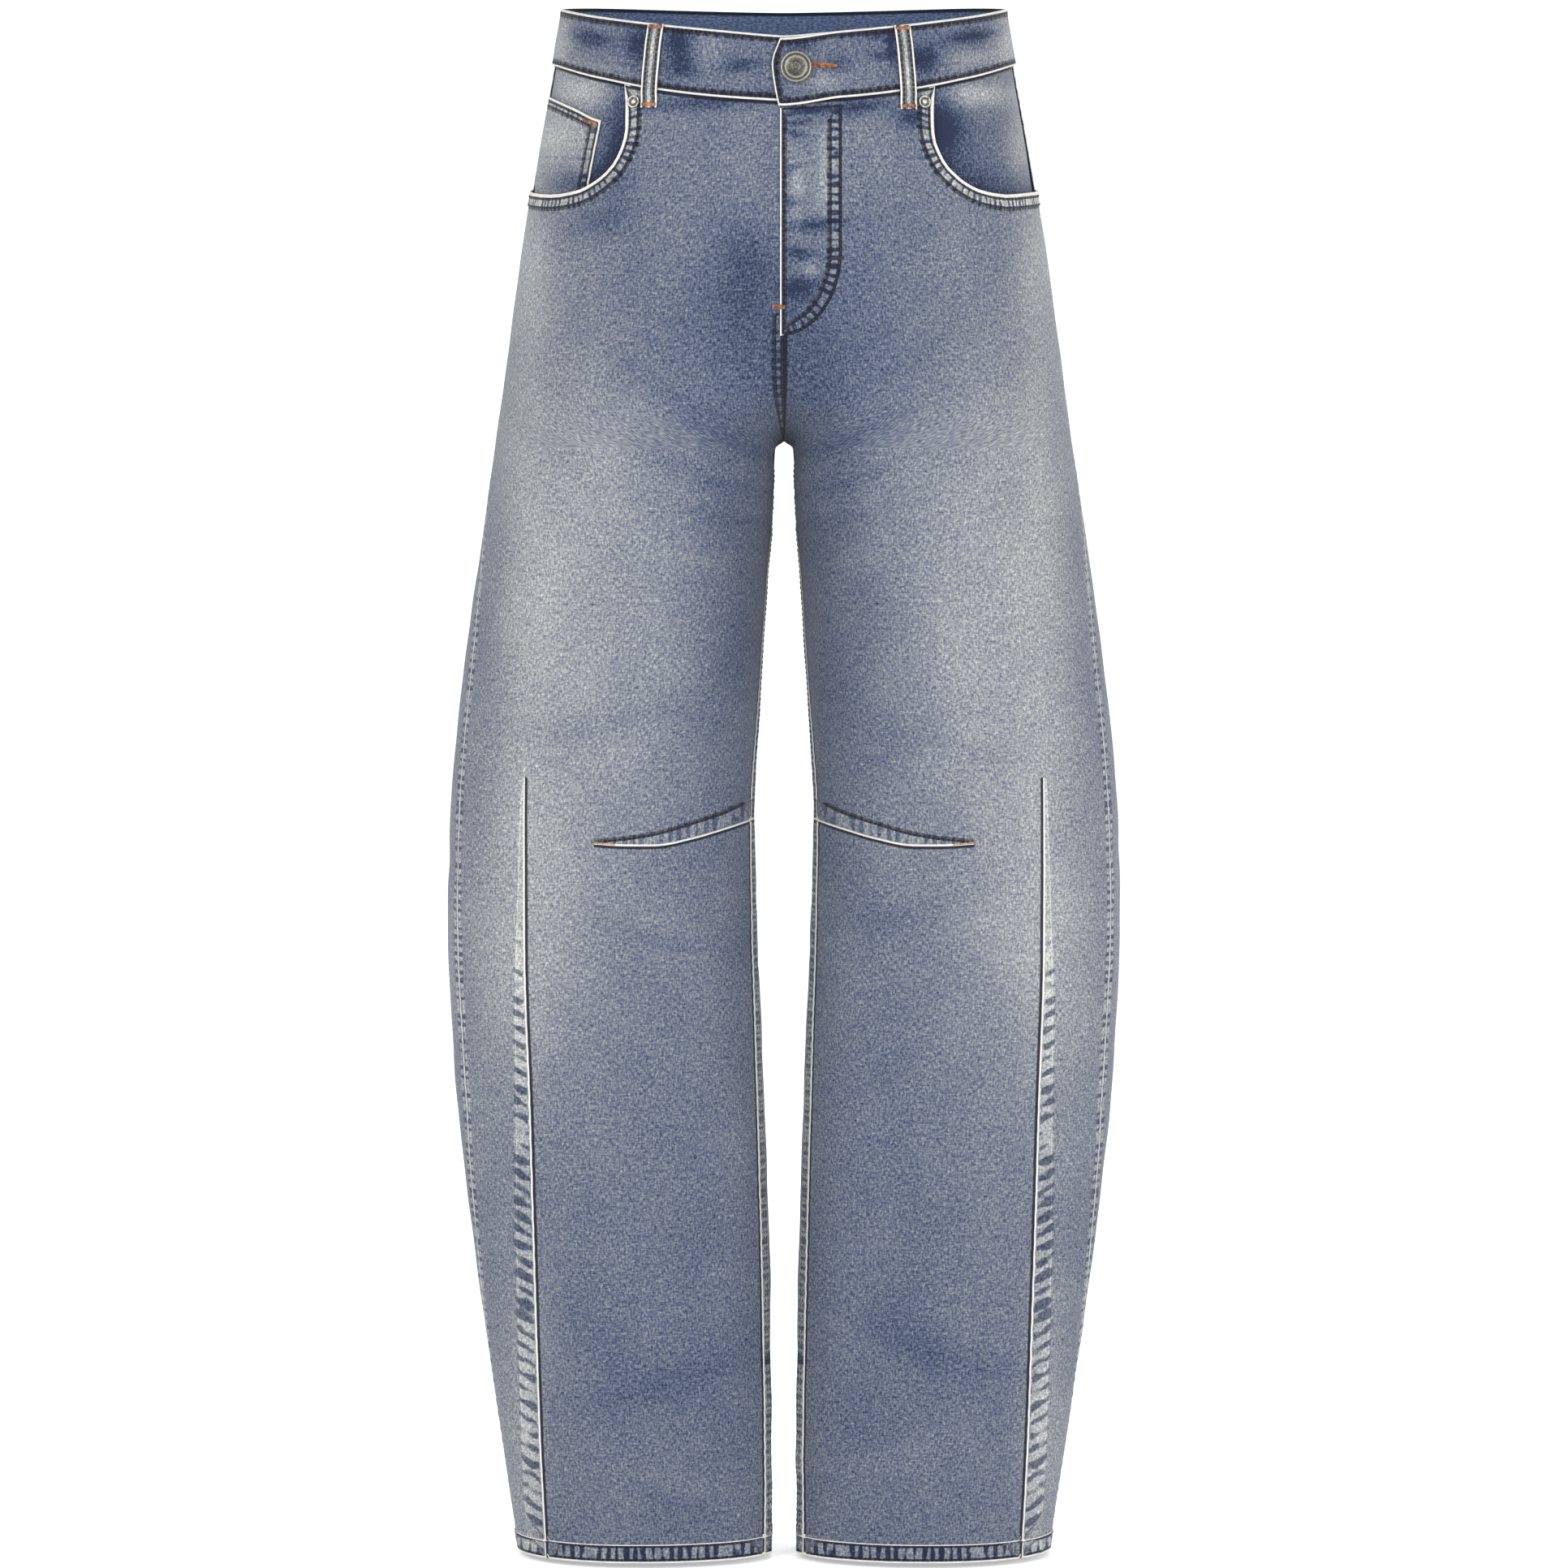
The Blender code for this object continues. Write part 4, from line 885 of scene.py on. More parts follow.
def front_grid(side):
    """The share and height of every point of a front, row by row."""
    scoop = scoop_line(side)
    part = np.clip(FRONT_COLUMNS / SCOOP_COLUMNS, 0, 1) * (len(scoop) - 1)
    share = np.interp(part, np.arange(len(scoop)), scoop[:, 0])
    height = np.interp(part, np.arange(len(scoop)), scoop[:, 1])
    width = float(width_at(side, True, -0.08))
    corner = share[-1]
    waist_keys = [corner, mix(corner, 1, 0.25), mix(corner, 1, 0.5), 1 - FELL_BAND / width, 1.0]
    beyond = FRONT_COLUMNS > SCOOP_COLUMNS
    share[beyond] = np.interp(FRONT_COLUMNS[beyond], np.arange(SCOOP_COLUMNS, LAST + 1), waist_keys)
    height[beyond] = waist_seam(True, share[beyond])
    top = np.stack([share, height], axis=-1)
    tangent = np.gradient(scoop * [width, 1.0], axis=0)
    tangent /= np.linalg.norm(tangent, axis=-1)[:, None]
    right = np.stack([np.interp(part, np.arange(len(scoop)), tangent[:, k]) for k in (0, 1)], axis=-1)
    down = POCKET_BAND * np.clip(FRONT_COLUMNS - SCOOP_COLUMNS + 1, 0, 1)
    left_over = np.clip(1 - (FRONT_COLUMNS - SCOOP_COLUMNS), 0, 1)
    ease = np.clip(FRONT_COLUMNS, 0, 1)
    edge_share = share + POCKET_BAND * right[:, 1] / width * left_over * ease
    beside = height - POCKET_BAND * mix(1, right[:, 0], ease) - down
    edge_height = np.where(beyond, height - POCKET_BAND, beside)
    edge = np.stack([edge_share, edge_height], axis=-1)
    lower = np.stack([front_share(side, FRONT_COLUMNS, RULED_TO), np.full(len(share), RULED_TO)], axis=-1)
    rows = [mix(top, edge, t) for t in (0, 0.06, 0.16, 0.3, 0.5, 0.7, 0.86, 0.96)]
    rows += [mix(edge, lower, t) for t in np.linspace(0, 1, 32) ** 1.15]
    heights = evenly(RULED_TO, SPLIT) + CROTCH_HEIGHTS + [CROTCH] + BELOW_CROTCH
    heights += evenly(BELOW_CROTCH[-1], DART_TIP)
    heights = [np.full(len(share), z) for z in heights]
    above = knee_line(side, ABOVE, position=FRONT_COLUMNS)
    below = knee_line(side, BELOW, position=FRONT_COLUMNS)
    start, end = np.full(len(share), DART_TIP), np.full(len(share), KNEE_ROWS_END)
    heights += [mix(start, above, t) for t in np.linspace(0, 1, 21)[1:]]
    heights += [mix(above, below, t) for t in (0.08, 0.2, 0.35, 0.5, 0.65, 0.8, 0.92, 1.0)]
    heights += [mix(below - DART_STEP, end, t) for t in np.linspace(0, 1, 20)]
    heights += [np.full(len(share), z) for z in evenly(KNEE_ROWS_END, HEM_TOP)]
    heights += [np.full(len(share), mix(HEM_TOP, HEM, t)) for t in HEM_PARTS]
    heights = np.array(heights)
    below_rows = np.stack([front_share(side, FRONT_COLUMNS[None], heights), heights], axis=-1)
    return np.concatenate([np.array(rows), below_rows])


print("columns of a front:", len(FRONT_COLUMNS))

# %% [markdown]
# Each seam of the front is a line on its form. Its folded edge lifts the cloth by a layer, and its tight
# thread makes it ropy. Both could be sculpted, but worked out from the distance to the line they fit the
# sewing everywhere, and the same numbers drive the colour.

# %% The front's seams and relief
HEM_BAND = HEM_TOP - HEM
FLY_END = -0.18
FELL_JOIN = -0.893


def front_facts(side, share, z):
    """The nearest seam, and how far the cloth is raised, at each place of a front."""
    width = width_at(side, True, z)
    points = on_panel(side, True, share, z)
    x = points[..., 0] * side
    seam_x = along(SIDE_DART, DART_X, z)
    seam_line = share_of_x(side, True, z, seam_x)
    fold_width = (seam_line - share_of_x(side, True, z, seam_x + along(SIDE_DART, DART_WIDTH, z))) * width
    dart = (seam_line - share) * width
    dart_there = smoothstep((DART_TIP - z) / 0.012)
    dart_run = 0.6 * z - 0.2 * dart
    dart_rope = 0.8 * smoothstep((-0.56 - z) / 0.08)
    knee = z - knee_line(side, BELOW, share=share)
    knee_width = knee_line(side, ABOVE, share=share) - knee_line(side, BELOW, share=share)
    knee_there = smoothstep((KNEE_DART_TIP - x) / 0.0025) * (np.abs(knee) < 0.04)
    knee_ease = smoothstep((KNEE_DART_TIP - x) / 0.012)
    fell = (share - 1.0) * width + FELL_BAND
    fell_there = smoothstep((FELL_TOP - z) / FELL_EASE)
    chart = np.stack([share * width, z], axis=-1)
    scoop_away, scoop_run = nearest(chart, in_metres(side, scoop_line(side)))
    scoop_there = (z > -0.14).astype(float)
    waist_away = waist_seam(True, share) - z
    middle_there = ((z > CROTCH) & (z < -0.05)).astype(float)
    below_fly = (z < FLY_END).astype(float) * (side < 0)
    # A seam with no rim gets a painted shadow line in the finish: under the waistband and beside the fly's
    # edge. The flat side beside a raised dart, knee dart or fell gets painted shadow too.
    facts = nearest_seam(
        # away, run, band, rim, rope, there, sewn
        seam(scoop_away, scoop_run * 1.5, POCKET_BAND, 0.0022, 1.0, scoop_there),
        seam(dart, dart_run, fold_width, 0.001, dart_rope, dart_there, 0.0),
        seam(knee, x, knee_width, 0.0014, 0.45, knee_there, SEWN_ONCE),
        seam(fell, z, FELL_BAND, 0.0012, 0.55, fell_there, 0.0),
        seam(share * width + 0.0004, z, 0.0045, 0.0009, 0.85, (z < SCOOP_END).astype(float), 0.0),
        seam(waist_away, x, 0.0, 0.0, 0.35),
        seam(z - HEM_TOP, x, 0.0, 0.0006, 0.0, (z >= HEM_TOP).astype(float)),
        seam(z - HEM, x, HEM_BAND, 0.0012, 1.0, (z < HEM_TOP).astype(float)),
        seam((1 - share) * width, z, 0.0064 * below_fly, 0.0, 0.5 * below_fly, middle_there),
    )
    ease = smoothstep((DART_TIP - z) / DART_EASE)
    relief = RAISED * ease * plateau(dart, fold_width) * dart_there
    relief = np.maximum(relief, RAISED * plateau(knee, knee_width) * knee_there * knee_ease)
    relief = np.maximum(relief, RAISED * fell_there * smoothstep(fell / 0.0007 + 0.5))
    relief = np.maximum(relief, RAISED * scoop_there * smoothstep((POCKET_BAND - scoop_away) / 0.0012 + 0.5))
    relief = np.maximum(relief, RAISED * smoothstep((HEM_TOP - z) / 0.001 + 0.5))
    soft = creased(side, True, x, z) + uneven(side, x, z)
    relief = roped_and_creased(facts, relief, side * 1.3, soft, z)
    in_fold = plateau(dart, fold_width) * dart_there + 0.6 * plateau(knee, knee_width) * knee_there
    in_scoop = scoop_there * smoothstep((POCKET_BAND - scoop_away) / 0.001)
    in_fell = fell_there * smoothstep(fell / 0.0007 + 0.5)
    joined = np.exp(-(((z - FELL_JOIN) / 0.0035) ** 4))
    facts["fade"] = faded(side, points) + 0.1 * in_fold + 0.2 * in_scoop + in_fell * (0.2 - 0.55 * joined)
    return facts, relief


def flat_cut(side, forwards, share, z):
    """A point's place on the flat cut, in metres."""
    return np.stack([(share - 0.5) * width_at(side, forwards, z) * side, z], axis=-1)


# %% Make the fronts
SIDE_NAMES = {+1: "left", -1: "right"}
LEAST_WALL = 0.0008
sheets = {}


def make_panel(name, side, forwards, grid, facts, relief, replaced):
    """A leg panel or a yoke as a thin wall, riding with the garment and standing for its solid."""
    share, z = grid[..., 0], grid[..., 1]
    outside = on_panel(side, forwards, share, z, relief)
    inside = on_panel(side, forwards, share, z, np.minimum(-CLOTH, relief - LEAST_WALL))
    above_crotch = z[:, -1] > CROTCH
    outside[above_crotch, -1, 0] = 0.0
    inside[above_crotch, -1, 0] = 0.0
    piece = cloth(name, outside, inside, flat_cut(side, forwards, share, z), facts)
    plain = on_panel(side, forwards, share, z)
    wide = float(np.linalg.norm(np.diff(plain, axis=1), axis=-1).sum(axis=1).max())
    tall = float(np.linalg.norm(np.diff(plain, axis=0), axis=-1).sum(axis=0).max())
    sheets[name] = (piece, wide, tall, cell_areas(plain))
    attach(piece, "root")
    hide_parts(replaced)
    return piece


for half_side, half_name in SIDE_NAMES.items():
    front_places = front_grid(half_side)
    front_seams, front_relief = front_facts(half_side, front_places[..., 0], front_places[..., 1])
    front_name = "front_panel_" + half_name
    make_panel(front_name, half_side, True, front_places, front_seams, front_relief, "front_" + half_name)
    print(front_name, front_places.shape[:2], "triangles", made_triangles[front_name])

# %% [markdown]
# ## Back panels and yokes
# The back is cut like the front but fuller, with a shaped yoke above it. Both use the front's way of making
# cloth with their own seams, because they are the same stuff. The photograph doesn't show the back, so it is
# finished plainly, as such jeans are.

# %% Backs and yokes
BACK_COLUMNS = np.interp(np.linspace(0, 1, 58), [0, 0.12, 0.88, 1], [0, 0.035, 0.965, 1])
BACK_ROW = 0.0022


def back_facts(side, share, z, yoke=False):
    """The nearest seam, and how far the cloth is raised, at each place of a back or a yoke."""
    width = width_at(side, False, z)
    points = on_panel(side, False, share, z)
    x = points[..., 0] * side
    lower = yoke_seam(share)
    middle_there = (z > CROTCH).astype(float)
    side_edge = seam(share * width + 0.0004, z, 0.0045, 0.0009, 0.85, 1.0, 0.0)
    middle = seam((1 - share) * width, z, 0.0075, 0.0012, 0.8, middle_there)
    # A seam with no rim gets a painted shadow line in the finish: under the waistband, under the yoke, and
    # along the back's inner seam below the crotch.
    if yoke:
        facts = nearest_seam(
            side_edge,
            middle,
            seam(z - lower, share * width, 0.0085, 0.0014, 0.8),
            seam(waist_seam(False, share) - z, share * width, 0.0, 0.0, 0.35),
        )
    else:
        facts = nearest_seam(
            side_edge,
            middle,
            seam(z - lower, share * width, 0.0, 0.0, 0.4),
            seam((share - 1) * width - 0.0003, z, 0.0, 0.0, 0.5, 1 - middle_there),
            seam(z - HEM, x, HEM_BAND, 0.0012, 1.0, (z < HEM_TOP).astype(float)),
        )
    relief = RAISED * smoothstep((HEM_TOP - z) / 0.001 + 0.5)
    soft = creased(side, False, x, z) + uneven(side + 0.5, x, z)
    relief = roped_and_creased(facts, relief, side * 2.3, soft, z)
    facts["fade"] = faded(side, points)
    return facts, relief


def back_grid():
    """The share and height of every point of a back."""
    seam_heights = yoke_seam(BACK_COLUMNS) - HALF_GAP
    heights = [mix(seam_heights, RULED_TO, t) for t in np.linspace(0, 1, 40) ** 1.1]
    plain = evenly(RULED_TO, SPLIT) + CROTCH_HEIGHTS + [CROTCH] + BELOW_CROTCH
    plain += evenly(BELOW_CROTCH[-1], HEM_TOP, BACK_ROW)
    plain += [mix(HEM_TOP, HEM, t) for t in HEM_PARTS]
    heights += [np.full(len(BACK_COLUMNS), z) for z in plain]
    heights = np.array(heights)
    return np.stack([np.broadcast_to(BACK_COLUMNS, heights.shape), heights], axis=-1)


def yoke_grid():
    """The share and height of every point of a yoke, from the waistband's seam to its own."""
    top, foot = waist_seam(False, BACK_COLUMNS), yoke_seam(BACK_COLUMNS) + HALF_GAP
    heights = np.array([mix(top, foot, t) for t in np.linspace(0, 1, 26)])
    return np.stack([np.broadcast_to(BACK_COLUMNS, heights.shape), heights], axis=-1)


for half_side, half_name in SIDE_NAMES.items():
    for back_name, solid, places, is_yoke in (
        ("back_panel_" + half_name, "back_" + half_name, back_grid(), False),
        ("back_yoke_" + half_name, "yoke_" + half_name, yoke_grid(), True),
    ):
        back_seams, back_relief = back_facts(half_side, places[..., 0], places[..., 1], is_yoke)
        make_panel(back_name, half_side, False, places, back_seams, back_relief, solid)
        print(back_name, places.shape[:2], "triangles", made_triangles[back_name])

# %% [markdown]
# ## Waistband
# The waistband is one folded strip, 44 mm deep in front. Its wearer's left end laps over the other, so that
# end is lifted by the thickness of what it covers. The front dips and the back rises, as worn jeans do. It
# could be a strip bent round a curve with a modifier, but laid out by turn and depth it keeps to the solid.

# %% The waistband's form
LIFT_FROM = 26.0
LIFT_TO = 11.0
LIFT = WALL + BAND_OUT + SEAM_GAP
UNDER_END = 8.5
FLAP_DROP = 0.003
BAND_ENDS = (
    # part  x of the lapping end
    (0.00, -0.0027),
    (0.38, -0.0080),
    (0.72, -0.0062),
    (1.00, -0.0037),
)
BAND_HALF_COLUMNS = 190
BAND_EDGE = 0.0008


def front_angle(x, z):
    """The angle round the leg of what is seen at x from the front."""
    half, mid, _front, _back, _middle, square = section(z)
    return np.arccos(signed_power(np.clip((np.abs(x) - mid) / half, -1, 1), square / 2))


def front_point(x, z, out):
    """Points of the front above the crotch, seen at x from the front."""
    x, z, out = np.broadcast_arrays(*(np.asarray(value, float) for value in (x, z, out)))
    angle = front_angle(x, z)
    found = np.where((x >= 0)[..., None], skin(+1, angle, z, out), skin(-1, angle, z, out))
    found[..., 0] = x
    return found


def band_point(side, turn, part, out, over=0.0, x=None):
    """Points of the waistband at a turn from the middle of the front. over is 1 on the end that laps over."""
    z = mix(along(WAIST, WAIST_TOP, turn), along(WAIST, WAIST_SEAM, turn), part) + HALF_GAP * part
    z = z - over * FLAP_DROP * smoothstep(1.0 - turn / LIFT_TO) * mix(0.5, 1.0, part)
    out = out + over * LIFT * smoothstep((LIFT_FROM - turn) / (LIFT_FROM - LIFT_TO))
    angle = np.radians(90.0 - turn)
    half, _mid, front, back, middle, square = section(z)
    across = (half + out) * np.abs(np.cos(angle)) ** (2 / square)
    depth = np.where(turn <= 90, front, back) + out
    y = middle - depth * signed_power(np.sin(angle), 2 / square)
    found = np.stack([side * across, y, z], axis=-1)
    if x is None:
        return found
    at_end = front_point(np.where(np.isnan(x), 0.001, x), z, out)
    return np.where(np.isnan(x)[..., None], found, at_end)


# %% The waistband's cloth
band_turns = 180.0 * np.linspace(0, 1, BAND_HALF_COLUMNS)[1:] ** 1.15
under_turns = np.linspace(UNDER_END, 0.4, 14)
end_steps = np.linspace(0, 1, 9)[:-1]
turns = np.concatenate([np.zeros(8), band_turns, band_turns[-2::-1], under_turns[::-1]])
sides = np.concatenate([np.ones(8 + len(band_turns)), -np.ones(len(band_turns) - 1), np.ones(14)])
overs = np.concatenate([np.ones(8 + len(band_turns)), np.zeros(len(band_turns) - 1 + 14)])
parts = np.array([0, 0.006, 0.016, 0.03, 0.05, 0.075, 0.1, 0.16, 0.24, 0.34, 0.45, 0.55])
parts = np.concatenate([parts, 1 - parts[-2::-1]])
turn_grid, part_grid = np.meshgrid(turns, parts)
side_grid, over_grid = np.broadcast_to(sides, turn_grid.shape), np.broadcast_to(overs, turn_grid.shape)
end_grid = np.full(turn_grid.shape, np.nan)
end_grid[:, :8] = mix(along(BAND_ENDS, 1, parts)[:, None], 0.0006, end_steps)

flat_band = band_point(side_grid, turn_grid, part_grid, BAND_OUT, over_grid, end_grid)
band_deep = along(WAIST, WAIST_TOP, turn_grid) - along(WAIST, WAIST_SEAM, turn_grid)
steps_along = np.linalg.norm(np.diff(flat_band, axis=1), axis=-1)
from_end = np.concatenate([np.zeros((len(parts), 1)), np.cumsum(steps_along, axis=1)], axis=1) + 0.0002
band_run = np.broadcast_to(from_end[len(parts) // 2], from_end.shape)
from_top, from_foot = part_grid * band_deep, (1 - part_grid) * band_deep
band_facts = nearest_seam(
    seam(from_top, band_run, 0.0034, 0.0014, 0.5),
    seam(from_foot, band_run, 0.0036, 0.0015, 0.7),
    seam(from_end, part_grid * band_deep, 0.0036, 0.0012, 0.4),
)
band_wave = puckers(band_run, 4.1)
band_soft = uneven(0.3, band_run, flat_band[..., 2] * 2) * np.sin(math.pi * part_grid)
rounded = -0.7 * BAND_OUT * np.clip(1 - np.minimum(from_top, from_foot) / BAND_EDGE, 0, 1) ** 2
band_rope = band_facts["rope"] * np.exp(-((band_facts["seam"] / 0.0055) ** 2))
band_relief = BAND_OUT + rounded + band_soft + 0.00022 * band_rope * band_wave
band_facts["rise"] = band_soft / 0.001 + band_rope * band_wave
outside = band_point(side_grid, turn_grid, part_grid, band_relief, over_grid, end_grid)
inside = band_point(side_grid, turn_grid, part_grid, -CLOTH, over_grid, end_grid)
band_facts["fade"] = faded(np.sign(flat_band[..., 0] + 1e-9), flat_band) - 0.04
band_cut = np.stack([band_run, -from_top], axis=-1)
band_outside = outside
waistband = cloth("waistband_strip", outside, inside, band_cut, band_facts)
sheets["waistband_strip"] = (waistband, float(band_run.max()), float(band_deep.max()), cell_areas(flat_band))
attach(waistband, "root")
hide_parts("waistband")
print("waistband", outside.shape[:2], "length", round(float(band_run.max()), 4))

# %% [markdown]
# ## Fly placket
# The fly's covering flap is stitched to the wearer's left front along a J. Its edge at the fly is free and
# stands up by a layer of cloth, while at the J it lies flat, so the wall rises from one to the other.

# %% The fly placket
FLY_EDGE = -0.0026
FLY_WIDTH = 0.038
FLY_STRAIGHT = -0.14
FLY_FOOT = -0.196
FLY_TOP_GAP = 0.0045
FLY_LEAST = 0.00022
FLY_RISE = 0.0012
WAIST_LEVEL = -0.04


def fly_height(x, part):
    """A placket's column goes down straight, and its foot curves back to the fly's edge."""
    turn = 90.0 - np.degrees(front_angle(x, WAIST_LEVEL))
    top = along(WAIST, WAIST_SEAM, turn) - FLY_TOP_GAP
    curve = np.clip((x - FLY_EDGE) / (FLY_WIDTH - FLY_EDGE), 0, 1)
    return mix(top, mix(FLY_STRAIGHT, FLY_FOOT, np.sqrt(1 - curve**2)), part)


fly_x = mix(FLY_EDGE, FLY_WIDTH, np.sin(np.linspace(0, math.pi / 2, 34)) ** 1.1)
fly_parts = np.linspace(0, 1, 74)
fly_across, fly_down = np.meshgrid(fly_x, fly_parts)
fly_z = fly_height(fly_across, fly_down)
j_line = np.stack([fly_x, fly_height(fly_x, 1.0)], axis=-1)[::-1]
j_line = np.concatenate([[[FLY_WIDTH, fly_z[0, -1]]], j_line])
fly_share = share_of_x(+1, True, fly_z, np.abs(fly_across))
under_facts, under_relief = front_facts(+1, fly_share, fly_z)
from_j, along_j = nearest(np.stack([fly_across, fly_z], axis=-1), j_line)
# The top seam has no rim, so the finish paints a shadow line along it, under the waistband.
fly_facts = nearest_seam(
    seam(fly_across - FLY_EDGE, fly_z, 0.0031, 0.0011, 0.5),
    seam(from_j, along_j, 0.0082, 0.0002, 0.9),
    seam(fly_z[0] - fly_z + 0.001, fly_across, 0.0, 0.0, 0.6),
)
fly_ease = smoothstep(from_j / 0.01) * smoothstep((FLY_WIDTH - fly_across) / 0.03)
fly_rope = fly_facts["rope"] * np.exp(-((fly_facts["seam"] / 0.01) ** 2))
fly_wave = puckers(fly_facts["run"] + 0.2 * fly_facts["seam"], 2.2, 0.0105)
fly_ripple = 0.0003 * fly_rope * fly_wave * smoothstep(from_j / 0.003)
fly_lift = under_relief + mix(FLY_LEAST, FLY_RISE, fly_ease) + fly_ripple
fly_facts["rise"] = under_facts["rise"] + fly_rope * fly_wave
flat_fly = front_point(fly_across, fly_z, 0.0)
fly_facts["fade"] = faded(np.where(fly_across < 0, -1.0, 1.0), flat_fly)
fly_cut = np.stack([width_at(+1, True, fly_z) / 2 - fly_across, fly_z], axis=-1)
fly_top = front_point(fly_across, fly_z, fly_lift)
fly_under = front_point(fly_across, fly_z, np.minimum(fly_lift - 0.00015, mix(0.0001, 0.0004, fly_ease)))
placket = cloth("fly_flap", fly_top, fly_under, fly_cut, fly_facts)
sheets["fly_flap"] = (placket, FLY_WIDTH - FLY_EDGE, float(fly_z[0, 0] - fly_z[-1, 0]), cell_areas(flat_fly))
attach(placket, "root")
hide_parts("fly_placket")
print("fly flap", fly_z.shape, "triangles", made_triangles["fly_flap"])

# %% [markdown]
# ## Pocket facings
# Inside each scoop a facing shows, tucked under the front. The wearer's right one carries the coin pocket. A
# facing is laid out by columns from the side seam and by depth, a layer of cloth inside the front's own form.

# %% Facings
FACING_NEAR = (
    # part  x       z
    (0.00, 0.0850, -0.0350),
    (0.25, 0.0840, -0.0580),
    (0.50, 0.0890, -0.0800),
    (0.75, 0.1000, -0.1010),
    (1.00, 0.1170, -0.1180),
)
FACING_LINE = ((0.1135, -0.03), (0.133, -0.1205))
FACING_FOOT = -0.1215
FACING_GAPS = ((0.0, 0.0008), (0.25, 0.001), (0.5, 0.0012), (0.75, 0.0018), (1.0, 0.0024))
FACING_WALL = 0.0012
LINE_COLUMN = 5
LAST_FACING_COLUMN = 8
COIN_TOP = ((0.105, -0.056), (0.1212, -0.0545), (0.14, -0.047), (0.1569, -0.04), (0.164, -0.037))
COIN_TUCK = 0.005


def facing_place(side, column, part):
    """The share and height of a place on the facing, from its side seam to its near edge."""
    shift = side * FRONT_SHIFT
    line_x, line_z = (mix(start, end, part) for start, end in zip(*FACING_LINE))
    line_share = share_of_x(side, True, line_z, line_x + shift)
    near_z = along(FACING_NEAR, 2, part)
    near_share = share_of_x(side, True, near_z, along(FACING_NEAR, 1, part) + shift)
    inner = (column - LINE_COLUMN) / (LAST_FACING_COLUMN - LINE_COLUMN)
    outer_share = line_share * column / LINE_COLUMN
    share = np.where(column <= LINE_COLUMN, outer_share, mix(line_share, near_share, inner))
    foot = mix(FACING_FOOT, FACING_NEAR[-1][2], column / LAST_FACING_COLUMN)
    return share, mix(waist_seam(True, share), foot, part)


def plain_facts(side, share, z, seams, seed):
    """The facts of a small piece: its seams, ropiness, wear and relief."""
    facts = nearest_seam(*seams)
    rope = roping(facts)
    wave = puckers(facts["run"], seed)
    facts["rise"] = rope * wave
    facts["fade"] = faded(side, on_panel(side, True, share, z))
    return facts, 0.00018 * rope * wave


for half_side, half_name in SIDE_NAMES.items():
    facing_columns, facing_parts = np.meshgrid(np.linspace(0, LAST_FACING_COLUMN, 44), np.linspace(0, 1, 40))
    share, z = facing_place(half_side, facing_columns, facing_parts)
    width = width_at(half_side, True, z)
    scoop = in_metres(half_side, scoop_line(half_side))
    to_scoop, _run = nearest(np.stack([share * width, z], axis=-1), scoop)
    # The waist seam has no rim, so the finish paints a shadow line along it, under the waistband.
    edges = (
        seam(share * width + 0.0004, z, 0.0, 0.0006, 0.4),
        seam(waist_seam(True, share) - z, share, 0.0, 0.0, 0.3),
    )
    facts, relief = plain_facts(half_side, share, z, edges, 5.0 + half_side)
    # Darker all over by 0.1, and painted shade toward the scoop's edge, where the front overhangs the facing.
    facts["fade"] = facts["fade"] - 0.1 - 0.22 * np.exp(-((to_scoop / 0.016) ** 2))
    gap = WALL + along(FACING_GAPS, 1, facing_parts)
    outside = on_panel(half_side, True, share, z, relief - gap)
    inside = on_panel(half_side, True, share, z, -gap - FACING_WALL)
    facing_name = "pocket_inner_" + half_name
    facing = cloth(facing_name, outside, inside, flat_cut(half_side, True, share, z), facts)
    wide, tall = float((share * width).max()), float((z.max(axis=0) - z.min(axis=0)).max())
    sheets[facing_name] = (facing, wide, tall, cell_areas(outside))
    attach(facing, "root")
    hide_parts("pocket_facing_" + half_name)
    print(facing_name, [round(value, 4) for value in (wide, tall)])

# %% [markdown]
# ## Coin pocket
# The coin pocket is a patch on the facing, caught in the side seam and tucked under the scoop. Colour alone
# could show it, but its folded top casts a shadow, so it is a piece of its own.

# %% Coin pocket
COIN_LEVEL = -0.05
coin_columns, coin_down = np.meshgrid(np.linspace(0, LINE_COLUMN, 44), np.linspace(0, 1, 44))


def scoop_height(side, share):
    """The height of the scoop's edge at each share of the front's width, below the pocket."""
    line = scoop_line(side, 200)
    lower = line[: line[:, 0].argmax() + 1]
    return np.interp(share, lower[:, 0], lower[:, 1])


def coin_place(column, z):
    """Where the coin pocket's column is at a height, and how far down the facing that is."""
    part = np.zeros(np.shape(z))
    for _again in range(3):
        share, _z = facing_place(-1, column, part)
        top = waist_seam(True, share)
        foot = mix(FACING_FOOT, FACING_NEAR[-1][2], column / LAST_FACING_COLUMN)
        part = np.clip((z - top) / (foot - top), 0, 1)
    return share, part


coin_share, _part = coin_place(coin_columns, np.full(coin_columns.shape, COIN_LEVEL))
coin_top = along(COIN_TOP, 1, np.abs(on_panel(-1, True, coin_share, COIN_LEVEL)[..., 0]))
coin_share, _part = coin_place(coin_columns, coin_top - 0.04)
coin_foot = scoop_height(-1, coin_share) - COIN_TUCK
coin_z = mix(coin_top, coin_foot, coin_down)
coin_share, coin_part = coin_place(coin_columns, coin_z)
width = width_at(-1, True, coin_z)
coin_side = (coin_share[:, -1:] - coin_share) * width
coin_seams = [
    seam(coin_top - coin_z, coin_share * width, 0.0062, 0.0015, 0.7),
    seam(coin_side, coin_z, 0.008, 0.0012, 0.7),
    seam(coin_share * width + 0.0004, coin_z, 0.0, 0.0006, 0.4),
]
coin_facts, coin_relief = plain_facts(-1, coin_share, coin_z, coin_seams, 7.7)
